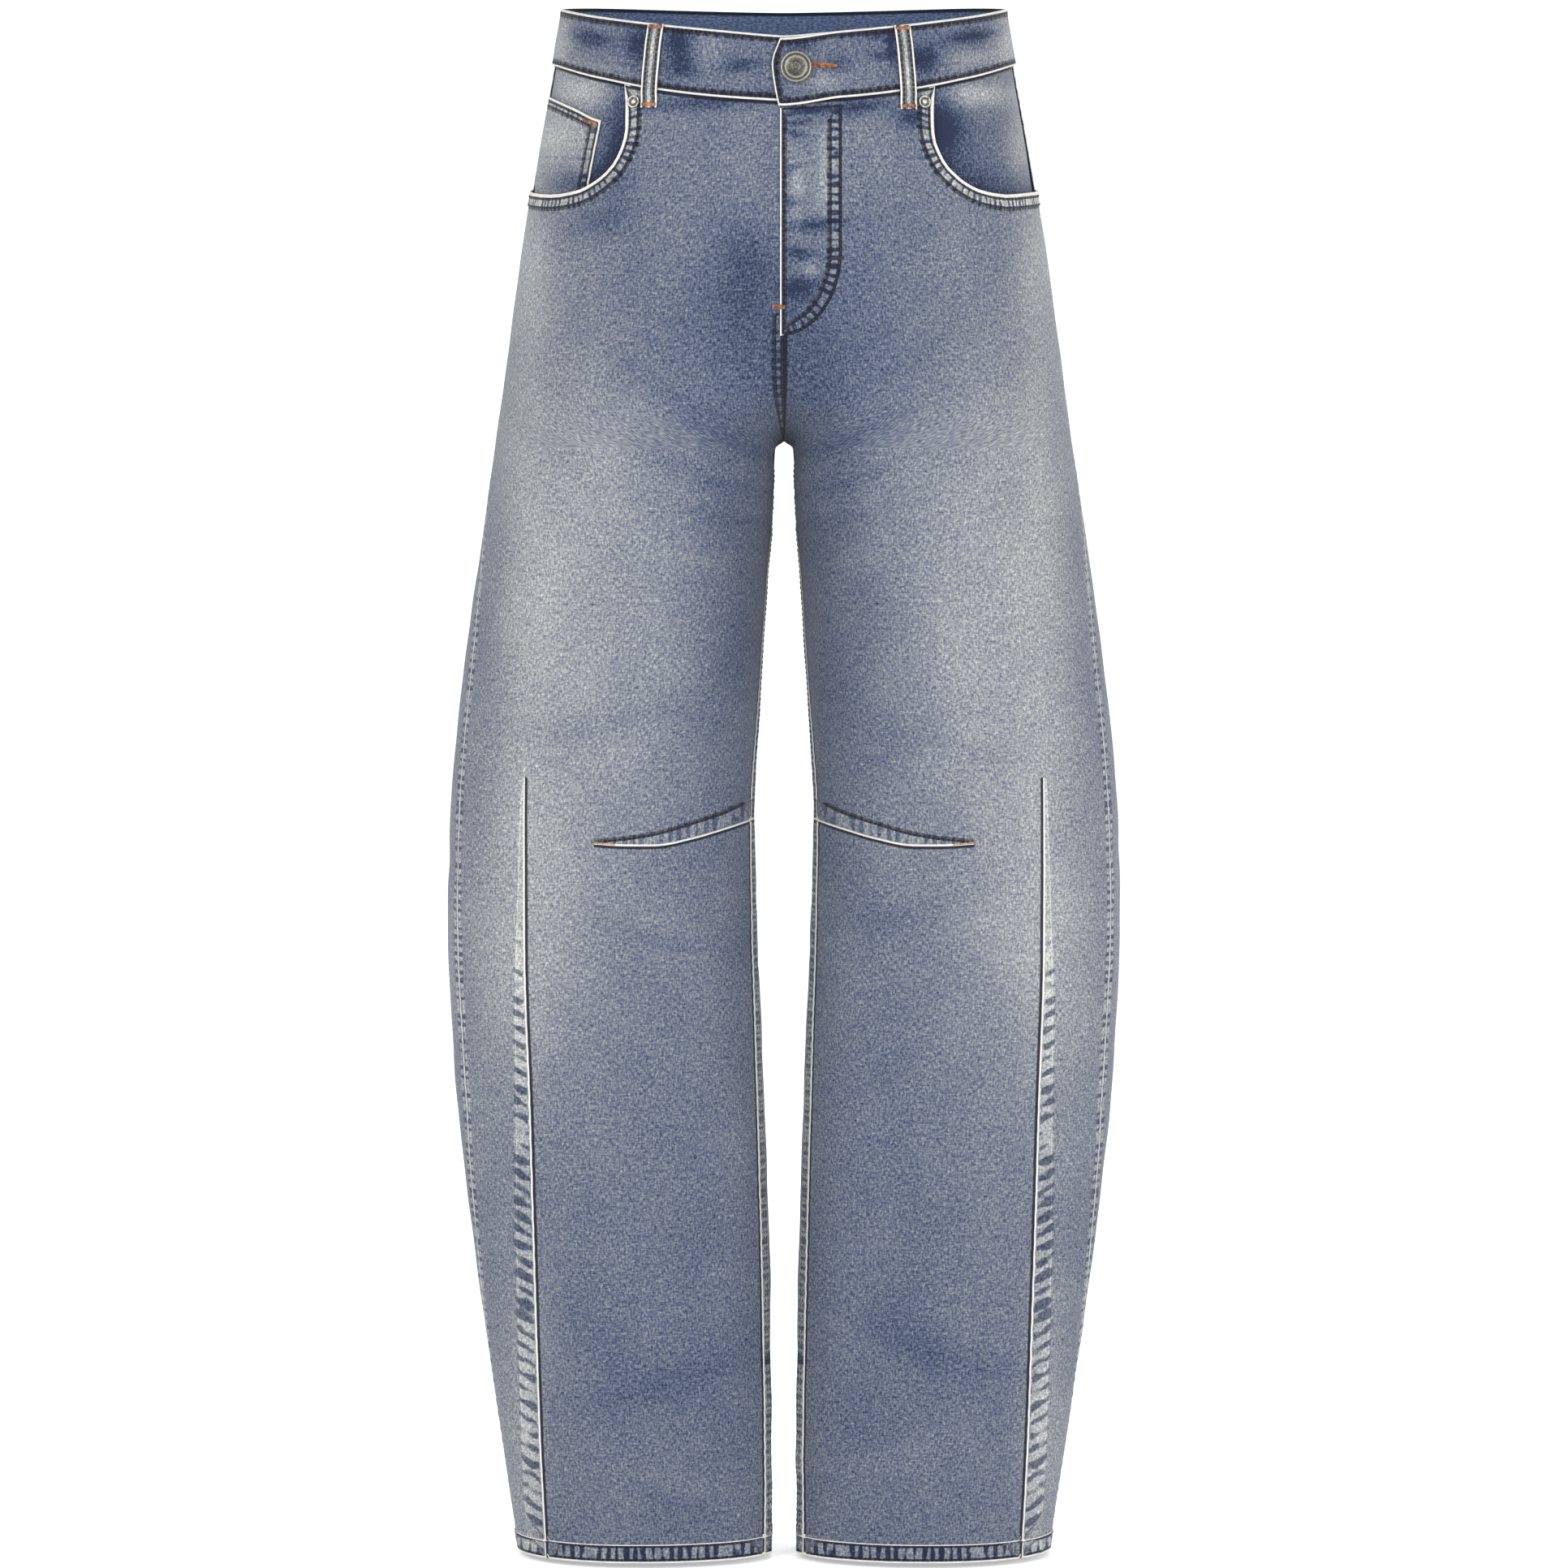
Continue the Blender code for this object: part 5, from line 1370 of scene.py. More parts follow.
coin_facts["fade"] = coin_facts["fade"] + 0.1
tucked = smoothstep((coin_foot + COIN_TUCK + 0.0045 - coin_z) / 0.004)
coin_under = -WALL - along(FACING_GAPS, 1, coin_part) + 0.0003
coin_out = coin_under + mix(0.0012, 0.0007, tucked) + coin_relief * (1 - tucked)
outside = on_panel(-1, True, coin_share, coin_z, coin_out)
inside = on_panel(-1, True, coin_share, coin_z, coin_under)
coin_outside = outside
coin = cloth("coin_patch", outside, inside, flat_cut(-1, True, coin_share, coin_z), coin_facts)
coin_wide, coin_tall = float((coin_share * width).max()), float((coin_z[0] - coin_z[-1]).max())
sheets["coin_patch"] = (coin, coin_wide, coin_tall, cell_areas(outside))
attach(coin, "root")
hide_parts("coin_pocket")
print("coin patch", [round(value, 4) for value in (coin_wide, coin_tall)])

# %% [markdown]
# ## Back pockets
# The back pockets are plain five-sided patches, sewn twice round their sides and foot. A Shrinkwrap modifier
# could lay a flat patch on the seat. Here the patch takes its points from the back's own form, a little
# further out, which keeps the two apart everywhere.

# %% Back pockets
BACK_POCKET_NEAR = (0.029, 0.038)
BACK_POCKET_FAR = (0.151, 0.145)
BACK_POCKET_TOP = 0.018
BACK_POCKET_SIDES = 0.12
BACK_POCKET_LENGTH = 0.142
BACK_POCKET_LEVELS = (-0.1, -0.238)
PATCH_GAP = 0.0007
PATCH_WALL = 0.001
SEAT_GAP = 0.0014
POCKET_HEM = 0.013


def pocket_share(side, across, z):
    """The share at a place across the pocket, from 0 at its outer side to 1 at its inner one."""
    down = np.clip((BACK_POCKET_LEVELS[0] - z) / (BACK_POCKET_LEVELS[0] - BACK_POCKET_LEVELS[1]), 0, 1)
    far = share_of_x(side, False, z, mix(*BACK_POCKET_FAR, down))
    near = share_of_x(side, False, z, mix(*BACK_POCKET_NEAR, down))
    return mix(far, near, across)


patch_grids = []
patch_columns = np.interp(np.linspace(0, 1, 48), [0, 0.2, 0.8, 1], [0, 0.1, 0.9, 1])
for half_side, half_name in SIDE_NAMES.items():
    across, down = np.meshgrid(patch_columns, np.linspace(0, 1, 62))
    top = yoke_seam(pocket_share(half_side, across, BACK_POCKET_LEVELS[0])) - BACK_POCKET_TOP
    foot = top - mix(BACK_POCKET_LENGTH, BACK_POCKET_SIDES, np.abs(2 * across - 1))
    z = mix(top, foot, down)
    share = pocket_share(half_side, across, z)
    chart = np.stack([share * width_at(half_side, False, z), z], axis=-1)
    outline = np.concatenate([chart[:, 0], chart[-1, 1:], chart[-2::-1, -1]])
    from_outline, round_outline = nearest(chart, outline)
    facts = nearest_seam(
        seam(from_outline, round_outline, 0.0085, 0.0013, 0.8),
        seam(top - z, share * 0.3, POCKET_HEM, 0.0012, 0.6),
    )
    rope = roping(facts)
    wave = puckers(facts["run"], 9.0 + half_side)
    points = on_panel(half_side, False, share, z)
    under_facts, under_relief = back_facts(half_side, share, z)
    facts["rise"] = under_facts["rise"] * 0.6 + rope * wave
    facts["fade"] = faded(half_side, points) + 0.05
    gap = mix(PATCH_GAP, SEAT_GAP, smoothstep((SPLIT + 0.01 - z) / 0.02))
    gap = gap * smoothstep(from_outline / 0.006 + 0.3)
    hem = RAISED * smoothstep((POCKET_HEM - (top - z)) / 0.001 + 0.5)
    under = np.maximum(under_relief, 0) + gap + 0.0002
    outside = on_panel(half_side, False, share, z, under + PATCH_WALL + 0.6 * hem + 0.00022 * rope * wave)
    inside = on_panel(half_side, False, share, z, under)
    patch_grids.append(outside)
    patch_name = "back_patch_" + half_name
    patch = cloth(patch_name, outside, inside, flat_cut(half_side, False, share, z), facts)
    wide = float(np.linalg.norm(np.diff(points, axis=1), axis=-1).sum(axis=1).max())
    sheets[patch_name] = (patch, wide, BACK_POCKET_LENGTH, cell_areas(points))
    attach(patch, "root")
    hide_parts("back_pocket_" + half_name)
print("back patch", round(wide, 4), "by", BACK_POCKET_LENGTH)

# %% [markdown]
# ## Belt loops
# A belt loop is a folded strip, sewn down at both ends, that stands off the waistband between them. It is a
# narrow grid, lifted by a short table of heights, which is easier to aim than a bent box.

# %% Belt loops
LOOP_WIDTH = 0.011
LOOP_WALL = 0.0016
LOOP_PROFILE = (
    # share  out
    (0.00, 0.0014),
    (0.10, 0.0020),
    (0.30, 0.0028),
    (0.55, 0.0028),
    (0.80, 0.0021),
    (0.90, 0.0009),
    (1.00, 0.0004),
)
LOOP_BELOW = 0.012
LOOP_TOP_IN = 0.0002
BACK_TURN = 180.0
BESIDE = 0.02
LOOP_COLUMNS = (-1, -0.94, -0.82, -0.6, -0.3, 0, 0.3, 0.6, 0.82, 0.94, 1)
LOOPS = (
    # name        turn   side
    ("front_right", 30.4, -1),
    ("front_left", 27.4, +1),
    ("side_right", 122.0, -1),
    ("side_left", 122.0, +1),
    ("back", 180.0, +1),
)
loop_grids = []


def unit(vectors):
    return vectors / np.linalg.norm(vectors, axis=-1, keepdims=True)


def loop_surface(turn, side, down, across):
    """The inside of a belt loop, and the direction out of it. across is from -1 to 1."""
    top = along(WAIST, WAIST_TOP, turn) - LOOP_TOP_IN
    foot = along(WAIST, WAIST_SEAM, turn) - LOOP_BELOW
    z, out = mix(top, foot, down), along(LOOP_PROFILE, 1, down)
    angle = math.radians(90.0 - turn)
    middle = skin(side, angle, z, out)
    sideways = skin(side, angle + BESIDE, z, out) - middle
    sideways[..., 2] = 0
    if turn == BACK_TURN:
        middle[..., 0] = 0
        sideways[...] = (1, 0, 0)
    sideways = unit(sideways)
    outward = np.stack([-sideways[..., 1], sideways[..., 0], np.zeros(z.shape)], axis=-1)
    outward = outward * np.sign((outward * middle).sum(axis=-1, keepdims=True))
    return middle + sideways * across[..., None] * LOOP_WIDTH / 2, outward


for loop_name, turn, side in LOOPS:
    across, down = np.meshgrid(LOOP_COLUMNS, np.linspace(0, 1, 40))
    inner, outward = loop_surface(turn, side, down, across)
    length = along(WAIST, WAIST_TOP, turn) - along(WAIST, WAIST_SEAM, turn) + LOOP_BELOW
    from_side = (1 - np.abs(across)) * LOOP_WIDTH / 2
    facts = nearest_seam(seam(from_side, down * length, 0.003, 0.0012, 0.12))
    facts["rise"] = 0.4 * puckers(facts["run"], turn)
    facts["fade"] = np.full(across.shape, 0.74) + 0.06 * np.sin(down * 9 + turn)
    crown = LOOP_WALL * (0.86 + 0.14 * (1 - across**2) ** 0.5) + 0.0001 * facts["rise"]
    cut = np.stack([across * LOOP_WIDTH / 2, -down * length], axis=-1)
    piece_name = "belt_strip_" + loop_name
    loop_outside = inner + outward * crown[..., None]
    loop_grids.append(loop_outside)
    piece = cloth(piece_name, loop_outside, inner, cut, facts)
    sheets[piece_name] = (piece, LOOP_WIDTH, float(length), LOOP_WIDTH * float(length))
    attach(piece, "root")
    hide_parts("belt_loop_" + loop_name)
print("belt strips", len(LOOPS))

# %% [markdown]
# ## Button and rivets
# These are turned or pressed metal, so each is a profile that is spun round its axis, which gives truer rings
# than bevels on a cylinder. Each point keeps its height in the profile, which tells the finish where it is
# rubbed bright.

# %% Metal pieces
BUTTON_RADIUS = 0.0103
BUTTON_PLACE = (0.0078, -0.0202)
BUTTON_PROFILE = (
    # radius share, height
    (0.000, 0.00355),
    (0.060, 0.00352),
    (0.075, 0.00330),
    (0.200, 0.00328),
    (0.215, 0.00350),
    (0.300, 0.00350),
    (0.315, 0.00325),
    (0.480, 0.00322),
    (0.500, 0.00340),
    (0.560, 0.00345),
    (0.600, 0.00395),
    (0.640, 0.00412),
    (0.700, 0.00412),
    (0.740, 0.00395),
    (0.775, 0.00335),
    (0.830, 0.00335),
    (0.865, 0.00410),
    (0.900, 0.00440),
    (0.950, 0.00435),
    (0.985, 0.00405),
    (1.000, 0.00350),
    (0.990, 0.00265),
    (0.950, 0.00215),
    (0.860, 0.00180),
    (0.440, 0.00150),
    (0.420, 0.00120),
    (0.420, 0.00000),
    (0.000, 0.00000),
)
RIVET_RADIUS = 0.0043
RIVET_PROFILE = (
    # radius share, height
    (0.000, 0.00190),
    (0.120, 0.00186),
    (0.240, 0.00165),
    (0.330, 0.00125),
    (0.400, 0.00095),
    (0.560, 0.00088),
    (0.700, 0.00094),
    (0.800, 0.00112),
    (0.900, 0.00116),
    (0.970, 0.00095),
    (1.000, 0.00060),
    (0.995, 0.00020),
    (0.960, 0.00000),
    (0.000, 0.00000),
)
RIVETS = (
    # name        x        z
    ("rivet_right", -0.0990, -0.0425),
    ("rivet_left", 0.0925, -0.0425),
)
TURNED_STEPS = 56
SLOPE_STEP = 0.002


def outward_at(x, z, out):
    """The direction straight out of the front, seen at x."""
    across = front_point(x + SLOPE_STEP, z, out) - front_point(x - SLOPE_STEP, z, out)
    up = front_point(x, z + SLOPE_STEP, out) - front_point(x, z - SLOPE_STEP, out)
    return unit(np.cross(across, up))


def frame_at(place, outward, along_x=(1.0, 0.0, 0.0)):
    """A matrix that stands a shape on a place, its Z outwards and its X as near as it can be to along_x."""
    sideways = unit(np.cross(outward, along_x))
    forwards = np.cross(sideways, outward)
    matrix = np.eye(4)
    matrix[:3, :4] = np.column_stack([forwards, sideways, outward, place])
    return Matrix(matrix.tolist())


def turned(name, profile, radius, place, outward, solid):
    """A turned metal piece: its profile runs down its outside, from the middle of its face to its foot."""
    shape = spun([(share * radius, height) for share, height in profile], TURNED_STEPS, 1e-6)
    bmesh.ops.recalc_face_normals(shape, faces=shape.faces)
    mesh = bpy.data.meshes.new(name)
    shape.to_mesh(mesh)
    shape.free()
    heights = [vert.co.z / max(height for _share, height in profile) for vert in mesh.vertices]
    mesh.attributes.new("height", "FLOAT", "POINT").data.foreach_set("value", heights)
    mesh.transform(frame_at(place, outward))
    face_outwards(mesh)
    mesh.shade_smooth()
    mesh.set_sharp_from_angle(angle=math.radians(58))
    piece = put_in_scene(name, mesh)
    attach(piece, "root")
    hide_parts(solid)
    return piece


button_out = BAND_OUT + LIFT + SEAM_GAP + 0.0002
button_at, button_towards = front_point(*BUTTON_PLACE, button_out), outward_at(*BUTTON_PLACE, button_out)
metal_pieces = [turned("waist_button", BUTTON_PROFILE, BUTTON_RADIUS, button_at, button_towards, "button")]
for rivet, x, z in RIVETS:
    rivet_out = RAISED + SEAM_GAP + 0.0003
    place, towards = front_point(x, z, rivet_out), outward_at(x, z, rivet_out)
    metal_pieces.append(turned(rivet + "_cap", RIVET_PROFILE, RIVET_RADIUS, place, towards, rivet))
print("metal pieces", [piece.name for piece in metal_pieces])

# %% [markdown]
# ## Denim
# The colour starts from how faded each place is. Slubs in the yarn make short pale streaks, mostly down the
# cloth and some across it, and a fine twill line runs over all. The relief is worn pale on its ridges and
# gets painted shade in its hollows. The seams then add their worn rims, dark sewn lines, painted shadow lines
# and puckers. All of it reads the cut's own UV map and the facts kept in the mesh, so it follows the cloth
# round every side.

# %% Small helpers for node trees
def add_node(tree, kind, **settings):
    made = tree.nodes.new(kind)
    for name, value in settings.items():
        setattr(made, name, value)
    return made


def feed(tree, socket, value):
    """Links a socket to an input, or sets the input to a plain value."""
    if isinstance(value, bpy.types.NodeSocket):
        tree.links.new(value, socket)
    else:
        socket.default_value = value


def maths(tree, operation, *values, clamp=False):
    made = add_node(tree, "ShaderNodeMath", operation=operation, use_clamp=clamp)
    for socket, value in zip(made.inputs, values):
        feed(tree, socket, value)
    return made.outputs[0]


def plus(tree, first, second):
    return maths(tree, "ADD", first, second)


def less(tree, value, taken):
    return maths(tree, "SUBTRACT", value, taken)


def times(tree, product, *values):
    """The product of two or more values."""
    for value in values:
        product = maths(tree, "MULTIPLY", product, value)
    return product


def mix_number(tree, share, low, high):
    """Low at a share of 0, and high at 1."""
    return plus(tree, times(tree, share, high - low), low)


def eased(tree, value, low, high, start=0.0, end=1.0):
    """Goes smoothly from start to end as the value goes from low to high."""
    made = add_node(tree, "ShaderNodeMapRange", interpolation_type="SMOOTHSTEP")
    for socket, given in zip(made.inputs, (value, low, high, start, end)):
        feed(tree, socket, given)
    return made.outputs[0]


def fact(tree, name):
    """A fact that is kept in the mesh, at each place."""
    return add_node(tree, "ShaderNodeAttribute", attribute_name=name).outputs["Fac"]


def blend_colours(tree, share, first, second):
    """The first colour at a share of 0, and the second at 1."""
    made = add_node(tree, "ShaderNodeMix", data_type="RGBA")
    for socket, given in ((made.inputs["Factor"], share), (made.inputs[6], first), (made.inputs[7], second)):
        feed(tree, socket, given)
    return made.outputs[2]


def stretched(tree, places, scale):
    """Places multiplied across, up and through."""
    mapping = add_node(tree, "ShaderNodeMapping")
    feed(tree, mapping.inputs["Vector"], places)
    mapping.inputs["Scale"].default_value = scale
    return mapping.outputs[0]


def noise(tree, places, scale, detail=2.0, roughness=0.5):
    """Noise about 0 to 1 whose grain is one over the scale, in metres, across, up and through."""
    made = add_node(tree, "ShaderNodeTexNoise", noise_dimensions="3D")
    feed(tree, made.inputs["Vector"], stretched(tree, places, scale))
    made.inputs["Scale"].default_value = 1.0
    made.inputs["Detail"].default_value = detail
    made.inputs["Roughness"].default_value = roughness
    return made.outputs[0]


def bump_of(tree, height, strength, distance, normal=None):
    """A surface that seems to rise with the height, on top of another bump if there is one."""
    made = add_node(tree, "ShaderNodeBump")
    made.inputs["Strength"].default_value = strength
    made.inputs["Distance"].default_value = distance
    feed(tree, made.inputs["Height"], height)
    if normal is not None:
        feed(tree, made.inputs["Normal"], normal)
    return made.outputs[0]


def new_finish(name):
    """A new material, its node tree and its shader."""
    made = bpy.data.materials.new(name)
    made.use_nodes = True
    return made, made.node_tree, made.node_tree.nodes["Principled BSDF"]


# %% The denim's yarn and colours
# Near-black for sewn lines and the hollows of puckers, and for painted shadow lines beside raised or
# overlapping edges.
INK_AND_SHADOW = (0.003, 0.004, 0.01, 1.0)
CREAM = (0.64, 0.625, 0.57, 1.0)
LINING = ((0.045, 0.07, 0.15, 1.0), (0.12, 0.16, 0.25, 1.0))
DENIM_RAMP = (
    # place, colour
    (0.00, (0.012, 0.018, 0.044, 1.0)),
    (0.20, (0.044, 0.061, 0.109, 1.0)),
    (0.40, (0.105, 0.118, 0.153, 1.0)),
    (0.55, (0.172, 0.182, 0.201, 1.0)),
    (0.70, (0.251, 0.267, 0.270, 1.0)),
    (0.85, (0.352, 0.360, 0.348, 1.0)),
    (1.00, (0.530, 0.515, 0.480, 1.0)),
)
YARN = {
    # name         grains to the metre, detail, amount
    "slub_down": ((860, 360, 1), 1.0, 0.85),
    "slub_across": ((380, 860, 1), 1.0, 0.65),
    "flecks": ((1500, 700, 1), 1.0, 0.3),
    "mottle": ((170, 120, 1), 2.0, 0.2),
    "cloud": ((22, 14, 1), 2.0, 0.16),
}
TWILL_SCALE = (560, 380, 1)
TWILL_AMOUNT = 0.02
# How much the relief colours the cloth: ridges paler by wear, hollows darker as painted shade.
RELIEF_WEAR_AND_SHADE = 0.05


def yarn_parts(tree):
    """The streaks of the yarn and the twill line of the weave, on the flat cut."""
    places = add_node(tree, "ShaderNodeUVMap", uv_map=CUT).outputs[0]
    parts = {name: noise(tree, places, scale, detail) for name, (scale, detail, _amount) in YARN.items()}
    wave = add_node(tree, "ShaderNodeTexWave", bands_direction="DIAGONAL")
    feed(tree, wave.inputs["Vector"], stretched(tree, places, TWILL_SCALE))
    wave.inputs["Scale"].default_value = 1.0
    wave.inputs["Distortion"].default_value = 0.6
    return {**parts, "twill": wave.outputs["Fac"]}


def paleness(tree, parts):
    """How pale the cloth is: its fading, with its yarn, and its relief: ridges worn paler, with painted shade
    in the hollows of creases and puckers.
    """
    value = fact(tree, "fade")
    amounts = {name: amount for name, (_scale, _detail, amount) in YARN.items()}
    for name, amount in {**amounts, "twill": TWILL_AMOUNT}.items():
        value = plus(tree, value, times(tree, less(tree, parts[name], 0.5), amount))
    # Ridges worn paler, and painted shade in the hollows of creases and puckers.
    return plus(tree, value, times(tree, fact(tree, "rise"), RELIEF_WEAR_AND_SHADE))


def ramp_of(tree, value):
    """The denim's colour, from raw indigo to bleached."""
    ramp = add_node(tree, "ShaderNodeValToRGB")
    while len(ramp.color_ramp.elements) < len(DENIM_RAMP):
        ramp.color_ramp.elements.new(0.5)
    for element, (place, colour) in zip(ramp.color_ramp.elements, DENIM_RAMP):
        element.position = place
        element.color = colour
    feed(tree, ramp.inputs[0], value)
    return ramp.outputs[0]


print("yarn parts:", list(YARN), "ramp colours:", len(DENIM_RAMP))

# %% [markdown]
# A seam shrinks in the wash and puckers, and its ridges rub pale while its hollows stay dark. The ticks are a
# noise that is stretched across the seam, with an even wave in it, and fade out beside the sewn band. They
# are only painted and bumped, because as relief they would need millions of faces.

# %% Puckers along the seams
TICK_PERIOD = 0.006
TICK_AMOUNT = 0.34


def seam_facts(tree):
    """The facts of the nearest seam, with three more: its raised side, and whether it has a band or a rim."""
    facts = {name: fact(tree, name) for name in SEAM_COLUMNS}
    facts["raised"] = eased(tree, facts["lap"], -0.00015, 0.00005)
    facts["banded"] = eased(tree, facts["band"], 0.002, 0.003)
    facts["rimmed"] = eased(tree, facts["rim"], 0.0003, 0.0005)
    facts["places"] = add_node(tree, "ShaderNodeCombineXYZ").outputs[0]
    feed(tree, facts["places"].node.inputs[0], facts["run"])
    feed(tree, facts["places"].node.inputs[1], facts["seam"])
    return facts


def line_at(tree, away, middle, half_width, soft=0.0005):
    """1 on a line at this distance from the seam, and 0 beside it."""
    off = maths(tree, "ABSOLUTE", less(tree, away, middle))
    return eased(tree, off, half_width, half_width + soft, 1.0, 0.0)


def ticks_of(tree, facts):
    """The ticks across a seam, from -1, dark, to pale, and how strongly they show."""
    away = facts["seam"]
    bunched = noise(tree, facts["places"], (205, 55, 1), 1.0)
    even_waves = maths(tree, "SINE", times(tree, facts["run"], 2 * math.pi / TICK_PERIOD))
    bunched = plus(tree, bunched, times(tree, even_waves, 0.15))
    tick = eased(tree, bunched, 0.36, 0.54, -1.0, 0.45)
    beyond_band = less(tree, away, times(tree, facts["band"], facts["raised"]))
    reach = eased(tree, beyond_band, 0.0, 0.003, 1.0, 0.0)
    inner = eased(tree, away, 0.0008, 0.0026)
    beside = mix_number(tree, facts["raised"], 0.45, 1.0)
    return tick, times(tree, facts["rope"], reach, times(tree, inner, beside))


def unsewn_edge(tree, facts):
    """A pale line along a folded edge where no thread shows."""
    edge = line_at(tree, facts["seam"], less(tree, facts["band"], 0.0004), 0.0003)
    unsewn = eased(tree, facts["sewn"], 0.2, 0.4, 0.16, 0.0)
    return times(tree, edge, facts["raised"], unsewn, facts["banded"])


# %% [markdown]
# Indigo is left in the groove of each sewn line, so a dark line runs on both sides of the band, broken a
# little at every stitch. A dark line on the flat side beside a raised edge, and along a seam with no rim, is
# painted shadow. The fold's rim is rubbed nearly white. All are soft lines at a set distance from the seam,
# because a line on an image would swim on the curved legs.

# %% Dark sewn lines, painted shadow lines, pale rims and the lining
PITCH = 0.0032


def sewn_lines(tree, facts):
    """How dark the sewn lines are: one beside the rim, one inside the far edge, and a thin one past it, which
    is unfaded indigo and painted shadow of the band's edge.
    """
    away, band = facts["seam"], facts["band"]
    has_first = times(tree, facts["banded"], eased(tree, facts["sewn"], 0.6, 0.9))
    has_last = times(tree, facts["banded"], eased(tree, facts["sewn"], 0.2, 0.4))
    first = times(tree, line_at(tree, away, plus(tree, facts["rim"], 0.0008), 0.0006), has_first)
    last = times(tree, line_at(tree, away, less(tree, band, 0.0007), 0.0006), has_last)
    waves = maths(tree, "SINE", times(tree, facts["run"], 2 * math.pi / PITCH))
    dashes = mix_number(tree, eased(tree, waves, -0.6, 0.2), 0.84, 1.0)
    lines = times(tree, maths(tree, "MAXIMUM", first, last), dashes)
    # Past the band's edge: unfaded indigo, and painted shadow of the raised band.
    past = times(tree, line_at(tree, away, plus(tree, band, 0.0007), 0.0002, 0.0009), has_last)
    return times(tree, maths(tree, "MAXIMUM", lines, times(tree, past, 0.7)), facts["raised"])


def lines_and_painted_shadow(tree, facts, lines):
    """How dark the sewn lines are, together with painted shadow lines beside raised and overlapping edges."""
    away = facts["seam"]
    # Painted shadow on the flat side of a seam, beside its raised folded edge.
    flat = times(tree, eased(tree, away, 0.0015, 0.0026, 0.97, 0.0), less(tree, 1.0, facts["raised"]))
    # Painted shadow along a seam with no pale rim, where an edge above overlaps it: the waistband, the yoke and
    # the fly's edge.
    shadow_under_unrimmed_edge = times(tree, eased(tree, away, 0.0015, 0.0028, 0.97, 0.0), less(tree, 1.0, facts["rimmed"]))
    dark = maths(tree, "MAXIMUM", maths(tree, "MAXIMUM", lines, flat), shadow_under_unrimmed_edge, clamp=True)
    return times(tree, dark, 0.96)


def rim_of(tree, facts):
    """How strongly the worn rim shows."""
    edge = eased(tree, maths(tree, "DIVIDE", facts["seam"], facts["rim"]), 0.75, 1.1, 1.0, 0.0)
    rubbed = noise(tree, facts["places"], (160, 900, 1), 2.0)
    worn = mix_number(tree, eased(tree, rubbed, 0.34, 0.58), 0.8, 1.0)
    return times(tree, edge, worn, times(tree, facts["raised"], facts["rimmed"]), 0.9)


def lining_of(tree, facts, streaks):
    """The unfaded inside of the cloth, with a dark line at its banded edges."""
    lining = blend_colours(tree, eased(tree, streaks, 0.35, 0.7), *LINING)
    edge = times(tree, eased(tree, facts["seam"], 0.002, 0.003, 0.9, 0.0), facts["banded"])
    return blend_colours(tree, edge, lining, INK_AND_SHADOW)


# %% Put the denim together
def make_denim(name):
    """The whole finish: yarn, relief with painted shade in its hollows, puckers, dark lines with painted shadow
    lines, worn rims and lining, and the bumps of them.
    """
    made, tree, shader = new_finish(name)
    parts = yarn_parts(tree)
    facts = seam_facts(tree)
    tick, pucker = ticks_of(tree, facts)
    ticks = times(tree, tick, pucker)
    value = plus(tree, paleness(tree, parts), times(tree, ticks, TICK_AMOUNT))
    value = plus(tree, value, unsewn_edge(tree, facts))
    deep = maths(tree, "MULTIPLY", times(tree, tick, -1.0, pucker), TICK_AMOUNT, clamp=True)
    colour = blend_colours(tree, deep, ramp_of(tree, value), INK_AND_SHADOW)
    lines = sewn_lines(tree, facts)
    # The sewn lines and the painted shadow lines, in near-black.
    colour = blend_colours(tree, lines_and_painted_shadow(tree, facts, lines), colour, INK_AND_SHADOW)
    colour = blend_colours(tree, rim_of(tree, facts), colour, CREAM)
    lining = lining_of(tree, facts, parts["slub_across"])
    colour = blend_colours(tree, eased(tree, fact(tree, "inside"), 0.4, 0.6), colour, lining)
    feed(tree, shader.inputs["Base Color"], colour)
    shader.inputs["Roughness"].default_value = 0.92
    shader.inputs["Specular IOR Level"].default_value = 0.22
    shader.inputs["Sheen Weight"].default_value = 0.1
    shader.inputs["Sheen Roughness"].default_value = 0.5
    weave = plus(tree, times(tree, parts["twill"], 0.12), times(tree, parts["slub_down"], 1.3))
    ropes = less(tree, times(tree, ticks, 0.5), times(tree, lines, 0.8))
    normal = bump_of(tree, weave, 0.5, 0.0003)
    feed(tree, shader.inputs["Normal"], bump_of(tree, ropes, 0.8, 0.0007, normal))
    return made


denim = make_denim("washed_denim")
for piece, *_sizes in sheets.values():
    piece.data.materials.append(denim)
print("steps in the denim:", len(denim.node_tree.nodes))

# %% [markdown]
# ## Metal
# The button is darkened silver, rubbed bright on its rings, and the rivets are paler. One recipe makes both:
# the height in the profile, roughened by a noise, goes from the dark metal to the bright one.

# %% Antique metal
def make_metal(name, bright, dark, low, high):
    """Metal that is dark below the low height and bright above the high one."""
    made, tree, shader = new_finish(name)
    places = add_node(tree, "ShaderNodeTexCoord").outputs["Object"]
    grain = noise(tree, places, (900, 900, 900), 4.0, 0.6)
    patches = noise(tree, places, (260, 260, 260), 3.0)
    rubbed = plus(tree, fact(tree, "height"), times(tree, less(tree, grain, 0.5), 0.5))
    share = eased(tree, rubbed, low, high)
    feed(tree, shader.inputs["Base Color"], blend_colours(tree, share, dark, bright))
    shader.inputs["Metallic"].default_value = 0.85
    feed(tree, shader.inputs["Roughness"], mix_number(tree, patches, 0.3, 0.62))
    feed(tree, shader.inputs["Normal"], bump_of(tree, grain, 0.35, 0.0002))
    return made


